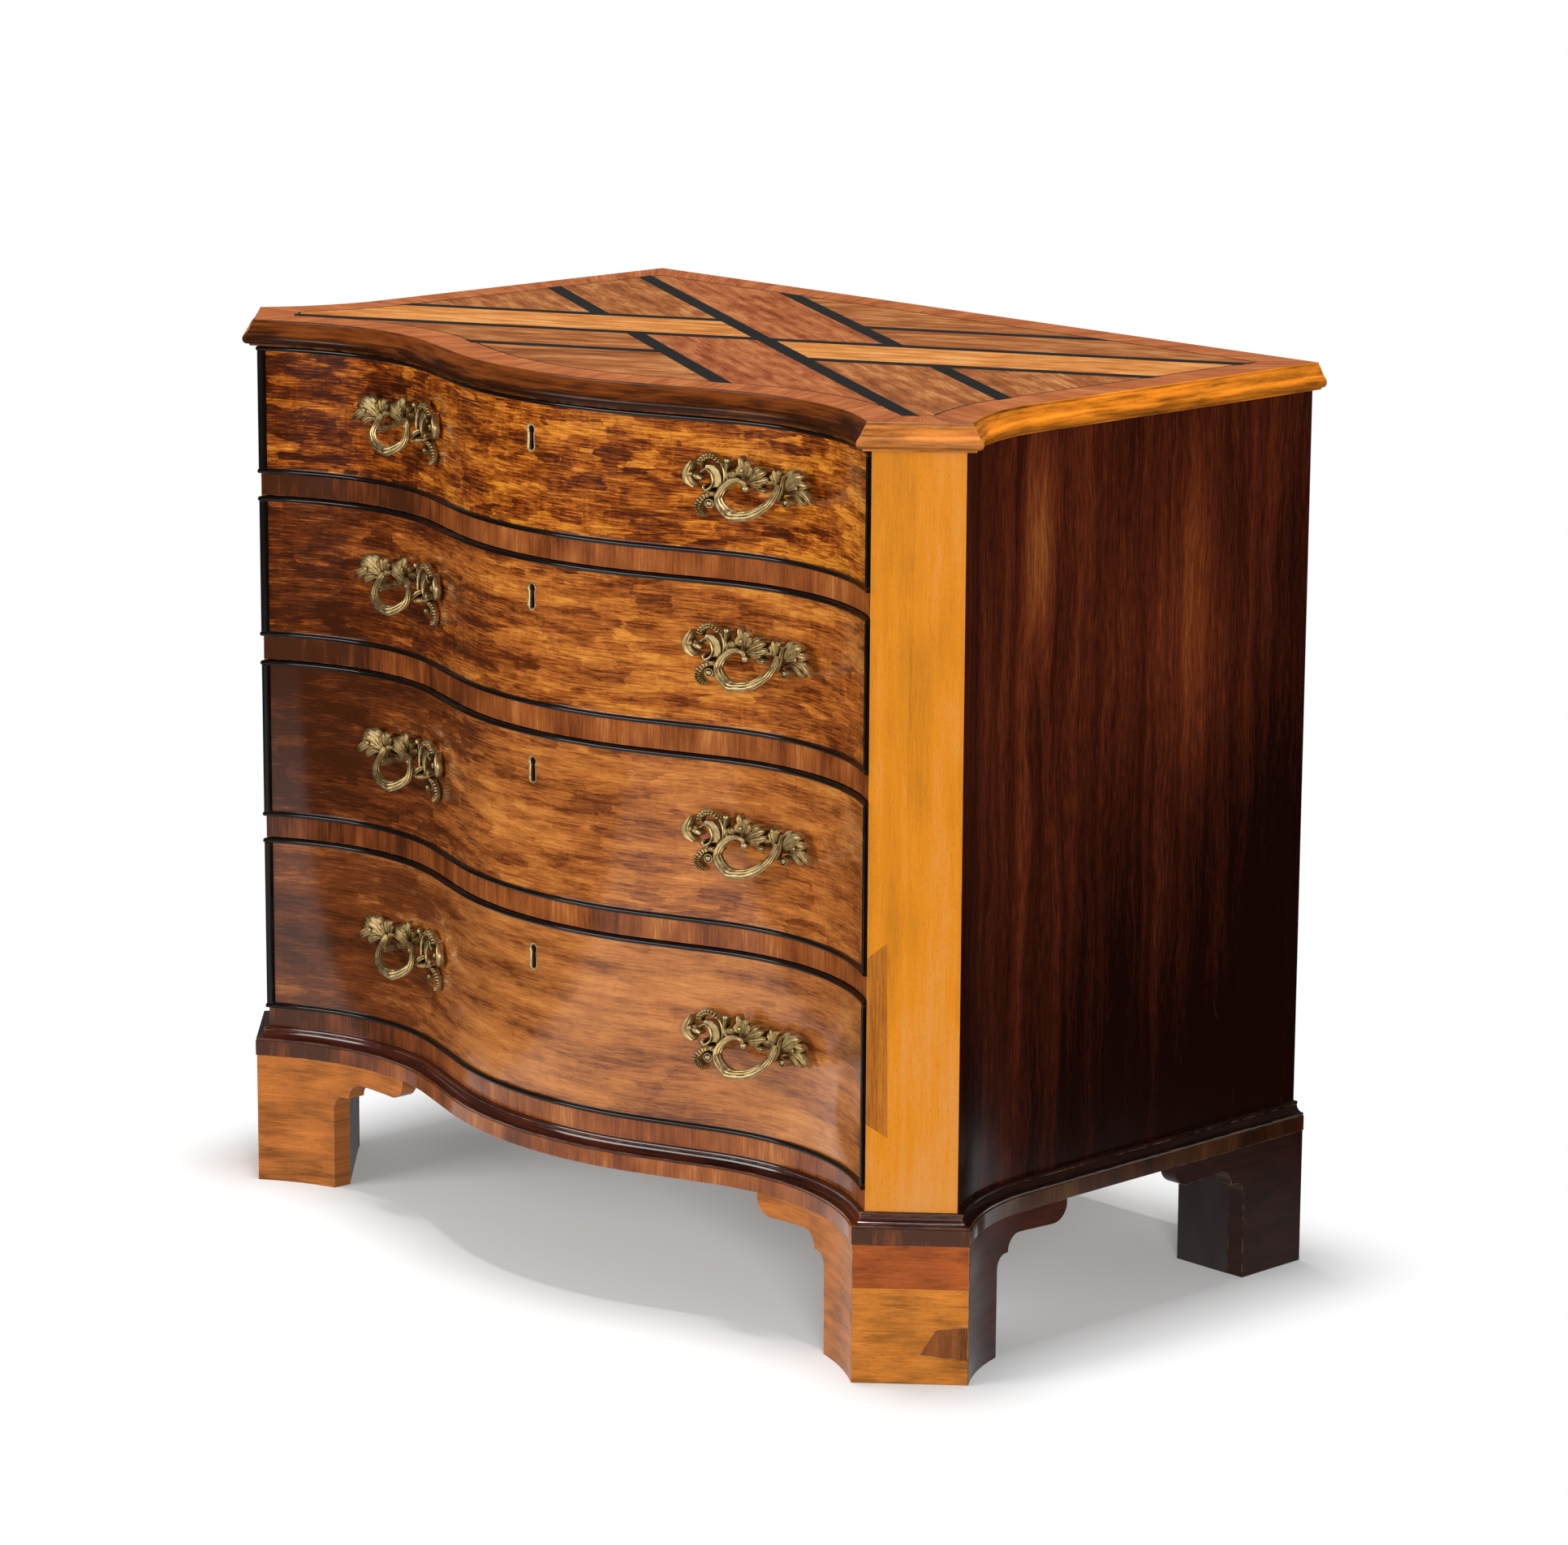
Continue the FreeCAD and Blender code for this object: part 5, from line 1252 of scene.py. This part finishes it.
    def scroll(self, mesh, lay, spine, widths, tops, ribs, groove):
        """Tapering bead along a spine, ribbed and hollowed along its back; it stands clear of the face."""
        rows = []
        for i, (u, w) in enumerate(spine):
            share = i / (len(spine) - 1)
            before, after = spine[max(i - 1, 0)], spine[min(i + 1, len(spine) - 1)]
            along = Vector((after[0] - before[0], after[1] - before[1])).normalized()
            rib = 1 - 0.3 * (1 - abs(math.cos(math.pi * ribs * share))) if ribs else 1.0
            half = spread(widths, share) / 2 * (0.8 + 0.2 * rib)
            top = spread(tops, share)
            foot = max(0.3, top - 7)
            row = []
            for k in range(11):
                angle = math.pi * k / 10
                out = math.cos(angle)
                dip = rib * (1 - groove * math.exp(-(out / 0.35) ** 2))
                row.append(lay(u - along.y * half * out, w + along.x * half * out,
                               foot + (top - foot) * math.sin(angle) ** 0.7 * dip))
            rows.append(row)
        self.skin(mesh, rows, ring=True)

    def leaf(self, mesh, lay, base, tip, width, bend, top):
        """Lobe of an acanthus: narrow at its root, round at its tip, fluted, with its edges off the face."""
        run = Vector(tip) - Vector(base)
        side = Vector((-run.y, run.x)).normalized()
        rows = []
        for i in range(19):
            t = i / 18
            centre = Vector(base) + run * t + side * (4 * bend * t * (1 - t))
            half = width / 2 * max(0.4 * (1 - t), math.sin(math.pi * t ** 1.5) ** 0.6, 0.02)
            crown = top - 2.5 * (1 - t) ** 2 - 2.5 * max(0.0, (t - 0.7) / 0.3) ** 2
            row = [lay(*(centre - side * half * 0.9), max(0.3, crown - 5.5))]
            for k in range(25):
                s = k / 12 - 1
                flute, vein = 0.7 * math.cos(3 * math.pi * s), 1.2 * math.exp(-(s / 0.14) ** 2)
                rise = crown - 1.8 * s * s + flute - vein
                row.append(lay(*(centre + side * (half * s)), max(0.4, rise)))
            row.append(lay(*(centre + side * half * 0.9), max(0.3, crown - 5.5)))
            rows.append(row)
        self.skin(mesh, rows, ring=True)

    def circle(self, lay, u, w, radius, h, steps):
        """Points of a circle at a height off the face."""
        turns = [2 * math.pi * n / steps for n in range(steps)]
        return [lay(u + radius * math.cos(a), w + radius * math.sin(a), h) for a in turns]

    def dome(self, mesh, lay, u, w, radius, top):
        """Round stud on a short stalk."""
        rows = [self.circle(lay, u, w, radius, max(0.3, top - 6), 18)]
        for k in range(6):
            angle = math.pi / 2 * k / 6
            rise = top - radius * (1 - math.sin(angle))
            rows.append(self.circle(lay, u, w, radius * math.cos(angle), rise, 18))
        self.skin(mesh, rows, ring=True)

    def boss(self, mesh, lay, u, w, radius, top):
        """Collar round a slotted screw head."""
        collar = ((radius, 0.2), (radius, top - 1), (radius * 0.92, top), (radius * 0.78, top),
                  (radius * 0.7, top - 1.2))
        self.skin(mesh, [self.circle(lay, u, w, r, h, 24) for r, h in collar], ring=True)
        head, slot = radius * 0.62, 0.16
        half_turn = [slot + (math.pi - 2 * slot) * n / 12 for n in range(13)]
        for sign in (1, -1):
            rows = []
            for k in range(6):
                rise = top - 1.2 + 2.2 * math.sin(math.pi / 2 * k / 5)
                ring = sign * head * math.cos(math.pi / 2 * k / 6)
                rows.append([lay(u + ring * math.sin(a), w - ring * math.cos(a) * 0.99, rise)
                             for a in half_turn])
            self.skin(mesh, rows, ring=True)

    def plate(self, mesh, lay):
        """Plain cartouche between its two scrolls."""
        rows = []
        mid_u, mid_w = self.PANEL_MIDDLE
        for grow, h in ((1.06, 0.2), (1.06, 8.8), (1.02, 9.5)):
            rows.append([lay(mid_u + (u - mid_u) * grow, mid_w + (w - mid_w) * grow, h)
                         for u, w in self.PANEL])
        self.skin(mesh, rows, ring=True)

    def grip(self, mesh, lay):
        """Reeded bar of the fixed grip: from the curl, furthest out below, with a collar halfway."""
        spine = smooth_run(self.GRIP, 6)
        points, reeds = 54, 7
        rows = []
        for i, place in enumerate(spine):
            share = i / (len(spine) - 1)
            along = (spine[min(i + 1, len(spine) - 1)] - spine[max(i - 1, 0)]).normalized()
            side = along.cross(Vector((0, 0, 1))).normalized()
            lift = side.cross(along)
            collar = 0.8 * math.exp(-((share - 0.53) / 0.016) ** 2)
            radius = spread(self.GRIP_RADII, share) + collar
            row = []
            for k in range(points):
                angle = 2 * math.pi * k / points
                reed = radius * (0.74 + 0.26 * abs(math.cos(reeds / 2 * angle + 4 * share)) ** 0.7)
                row.append(lay(*(place + side * (reed * math.cos(angle)) + lift * (reed * math.sin(angle)))))
            rows.append(row)
        self.skin(mesh, rows, ring=True)


class COMMODE_OT_repairs(bpy.types.Operator):
    """Old patches let into the right post and its foot"""
    bl_idname = "commode.repairs"
    bl_label = "Repairs"

    def execute(self, context):
        line = curve()
        sizes = plan()
        post = line.placed([line.corner, line.outer])
        foot = [line.cant(sizes.band_overhang - sizes.foot_setback)[i] for i in (0, -1)]
        # A later piece of mahogany, planed flush and polished: browner than the wood round it
        stops = hex_stops((0.38, 0.5, 0.64), ("#7a420e", "#a86016", "#bd7828"))
        patch = polished_wood("Patched mahogany, post", stops, streak=(0.2, 0.005), coat=0.2)
        corners = ((0.0004, 0.376), (0.017, 0.389), (0.019, 0.217), (0.0004, 0.229))
        self.let_in("post_patch", post, corners, patch)
        edge = (foot[1] - foot[0]).length - 0.0008
        corners = ((edge - 0.0275, 0.0497), (edge - 0.0413, 0.0266), (edge, 0.022), (edge, 0.053))
        self.let_in("foot_patch", foot, corners, foot_wood("patch"))
        return {"FINISHED"}

    def let_in(self, name, run, corners, material):
        """Thin patch on a straight face, from distances along it and heights."""
        start, end = run
        along = (end - start).normalized()
        normal = Vector((along.y, -along.x))
        mesh, layer = new_mesh()
        stations = []
        sunk, hairline = -0.0003, 0.00012
        for proud in (sunk, hairline):
            points = [start + along * a + normal * proud for a, z in corners]
            stations.append([Vector((p.x, p.y, z)) for p, (a, z) in zip(points, corners)])
        for ring in walls(mesh, stations):
            add_face(mesh, layer, ring, [(z, a, 9.0) for a, z in corners])
        add_piece(name, mesh, "carcase", material)


class COMMODE_OT_plain_parts(bpy.types.Operator):
    """Finishes for the boards and locks that keep their own solids"""
    bl_idname = "commode.plain_parts"
    bl_label = "Plain parts"

    def execute(self, context):
        tones = colours()
        oak = plain_wood("Planed oak", tones.oak, "Y")
        pine = plain_wood("Planed pine", tones.pine, "X")
        for node in ("dust_boards", "bottom_board"):
            repaint(node, pine)
        self.back(plain_wood("Planed pine, back", tones.pine, None))
        for node in ("drawer_runners", "drawer_stops"):
            repaint(node, oak)
        # Foot blocks near black, far darker than the other pine
        repaint("foot_blocks", plain_wood("Near-black pine, foot blocks", linear("#1a0d07"), "Z"))
        for number in DRAWERS:
            stem = "drawer_%d_" % number
            repaint(stem + "box", oak)
            repaint(stem + "bottom", pine)
            repaint(stem + "lock", blackened_iron())
            repaint(stem + "lock_bolt", blackened_iron())
        return {"FINISHED"}

    def back(self, material):
        """Four level boards with open joints, each with its own grain."""
        low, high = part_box("back_boards")
        count = 4
        joint = 0.001
        tall = (high.z - low.z) / count
        boards = new_mesh()
        for i in range(count):
            foot = low.z + tall * i + joint / 2
            head = foot + tall - joint
            outline = ((low.y, foot), (high.y, foot), (high.y, head), (low.y, head))
            loops = [[Vector((x, y, z)) for y, z in outline] for x in (low.x, high.x)]
            sweep(loops, [low.x, high.x], 2.7 * i, into=boards)
        add_piece("back_boarding", boards[0], "carcase", material, ["back_boards"], bevel=0.0008)


class COMMODE_OT_stage(bpy.types.Operator):
    """Floor, soft studio light and the camera"""
    bl_idname = "commode.stage"
    bl_label = "Stage"

    # The photograph's view: azimuth, elevation and roll in degrees, focal length in pixels, place
    VIEW_ANGLES = (46.304, 12.6225, 0.325)
    FOCAL_PIXELS = 6771.54
    PHOTO_WIDTH = 1932
    SENSOR = 36.0
    CAMERA_PLACE = Vector((3.6363, -3.1814, 1.5522))

    def execute(self, context):
        self.floor()
        self.world(context.scene)
        self.lamps()
        self.camera(context.scene)
        context.scene.view_settings.view_transform = "Standard"
        return {"FINISHED"}

    def floor(self):
        """White to the camera away from the object; under it the paint takes the shadow.

        Rolled matt paint, with no shine of its own. To reflections a pale card lies ahead of the front.
        """
        data = bpy.data.meshes.new("studio_floor")
        reach = 40.0
        corners = [(-reach, -reach, 0), (reach, -reach, 0), (reach, reach, 0), (-reach, reach, 0)]
        data.from_pydata(corners, [], [(0, 1, 2, 3)])
        material, tree = new_material("Studio floor paint")
        place = add(tree, "NewGeometry", None, "Position")
        axes = add(tree, "SeparateXYZ", {0: place}).node.outputs
        # Distance from a rectangle as wide and deep as the object
        squares = []
        for axis, half in (("X", 0.49), ("Y", 0.285)):
            distance = add(tree, "Math", {0: axes[axis]}, operation="ABSOLUTE")
            beyond = add(tree, "Math", {0: distance, 1: half}, operation="SUBTRACT")
            gap = add(tree, "Math", {0: beyond, 1: 0.0}, operation="MAXIMUM")
            squares.append((add(tree, "Math", {0: gap, 1: gap}, operation="MULTIPLY"), 1.0))
        away = add(tree, "Math", {0: weighted(tree, squares)}, operation="SQRT")
        paint = add(tree, "BsdfDiffuse", {"Color": (*scaled(colours().floor, 0.85), 1.0)})
        lift = add(tree, "Emission", {"Strength": 0.15})
        near = add(tree, "AddShader", {0: paint, 1: lift})
        white = add(tree, "Emission", {"Strength": 1.0})
        fade = add(tree, "MapRange", {0: away, 1: 0.02, 2: 0.16})
        seen = add(tree, "MixShader", {0: fade, 1: near, 2: white})
        # The card reaches far ahead of the front and little elsewhere
        grey = add(tree, "BsdfDiffuse", {"Color": (0.3, 0.3, 0.3, 1.0)})
        in_front = add(tree, "MapRange", {0: axes["Y"], 1: -0.2, 2: -0.5})
        rightward = add(tree, "MapRange", {0: axes["X"], 1: -0.65, 2: -0.35})
        ahead = add(tree, "Math", {0: in_front, 1: rightward}, operation="MULTIPLY")
        card_reach = add(tree, "MapRange", {0: ahead, 1: 0.0, 2: 1.0, 3: 0.12, 4: 1.0})
        share = add(tree, "Math", {0: away, 1: card_reach}, operation="DIVIDE")
        card = add(tree, "MapRange", {0: share, 1: 1.5, 2: 2.5, 3: 0.95, 4: 0.02})
        shine = add(tree, "Emission", {"Strength": card})
        path = add(tree, "LightPath").node.outputs
        bounced = add(tree, "MixShader", {0: path["Is Glossy Ray"], 1: grey, 2: shine})
        both = add(tree, "MixShader", {0: path["Is Camera Ray"], 1: bounced, 2: seen})
        add(tree, "OutputMaterial", {"Surface": both})
        data.materials.append(material)
        floor = bpy.data.objects.new("studio_floor", data)
        bpy.context.scene.collection.objects.link(floor)

    def world(self, scene):
        """White to the camera, nearly dark to reflections, a dim grey to everything else."""
        scene.world = bpy.data.worlds.new("Studio")
        scene.world.use_nodes = True
        tree = scene.world.node_tree
        tree.nodes.clear()
        path = add(tree, "LightPath").node.outputs
        seen = add(tree, "Math", {0: path["Is Camera Ray"], 1: path["Is Transmission Ray"]},
                   operation="MAXIMUM")
        level = add(tree, "MapRange", {0: path["Is Glossy Ray"], 1: 0.0, 2: 1.0, 3: 0.25, 4: 0.07})
        white = (1.0, 1.0, 1.0, 1.0)
        room = add(tree, "Background", {"Color": white, "Strength": level})
        backdrop = add(tree, "Background", {"Color": white, "Strength": 1.0})
        both = add(tree, "MixShader", {0: seen, 1: room, 2: backdrop})
        add(tree, "OutputWorld", {"Surface": both})

    def lamps(self):
        """Softboxes: name, place, aim, width, height and power in watts."""
        lamps = (("key_softbox", (-1.2, -3.6, 1.25), (0.0, -0.2, 0.45), 2.2, 1.4, 95.0),
                 ("camera_softbox", (3.4, -2.6, 1.3), (0.3, -0.1, 0.5), 1.0, 1.2, 92.0),
                 ("top_softbox", (0.0, 0.0, 6.0), (0.0, 0.0, 0.5), 1.0, 1.0, 310.0))
        for name, place, aim, wide, tall, power in lamps:
            data = bpy.data.lights.new(name, "AREA")
            data.shape = "RECTANGLE"
            data.size = wide
            data.size_y = tall
            data.energy = power
            lamp = bpy.data.objects.new(name, data)
            lamp.location = place
            lamp.rotation_euler = (Vector(aim) - Vector(place)).to_track_quat("-Z", "Y").to_euler()
            bpy.context.scene.collection.objects.link(lamp)

    def camera(self, scene):
        """The photograph's view, solved from the object's own edges."""
        azimuth, elevation, roll = (math.radians(a) for a in self.VIEW_ANGLES)
        forward = Vector((-math.sin(azimuth) * math.cos(elevation), math.cos(azimuth) * math.cos(elevation),
                          -math.sin(elevation)))
        level = Vector((math.cos(azimuth), math.sin(azimuth), 0.0))
        upright = level.cross(forward)
        right = level * math.cos(roll) + upright * math.sin(roll)
        up = upright * math.cos(roll) - level * math.sin(roll)
        data = bpy.data.cameras.new("photo_camera")
        data.sensor_width = self.SENSOR
        data.sensor_fit = "HORIZONTAL"
        data.lens = self.SENSOR * self.FOCAL_PIXELS / self.PHOTO_WIDTH
        data.clip_end = 60.0
        camera = bpy.data.objects.new("photo_camera", data)
        turn = Matrix((right, up, -forward)).transposed().to_4x4()
        camera.matrix_world = Matrix.Translation(self.CAMERA_PLACE + Vector((0, curve().shift, 0))) @ turn
        scene.collection.objects.link(camera)
        scene.camera = camera


class COMMODE_PT_panel(bpy.types.Panel):
    """Sizes, colours and pieces of the commode"""
    bl_idname = "COMMODE_PT_panel"
    bl_label = "Serpentine commode"
    bl_space_type = "VIEW_3D"
    bl_region_type = "UI"
    bl_category = "Commode"

    def draw(self, context):
        for group in (context.scene.commode_plan, context.scene.commode_colours):
            box = self.layout.box()
            for name in group.__annotations__:
                box.prop(group, name)
        for operator in PIECES:
            self.layout.operator(operator.bl_idname)


PIECES = (COMMODE_OT_stage, COMMODE_OT_top, COMMODE_OT_carcase, COMMODE_OT_base, COMMODE_OT_feet,
          COMMODE_OT_drawers, COMMODE_OT_pulls, COMMODE_OT_repairs, COMMODE_OT_plain_parts)
CLASSES = (CommodePlan, CommodeColours) + PIECES + (COMMODE_PT_panel,)


def register():
    for cls in CLASSES:
        bpy.utils.register_class(cls)
    bpy.types.Scene.commode_plan = PointerProperty(type=CommodePlan)
    bpy.types.Scene.commode_colours = PointerProperty(type=CommodeColours)


def unregister():
    del bpy.types.Scene.commode_plan
    del bpy.types.Scene.commode_colours
    for cls in reversed(CLASSES):
        bpy.utils.unregister_class(cls)


def main():
    register()
    bpy.ops.commode.stage()
    bpy.ops.commode.top()
    bpy.ops.commode.carcase()
    bpy.ops.commode.base()
    bpy.ops.commode.feet()
    bpy.ops.commode.drawers()
    bpy.ops.commode.pulls()
    bpy.ops.commode.repairs()
    bpy.ops.commode.plain_parts()


if __name__ == "__main__":
    main()
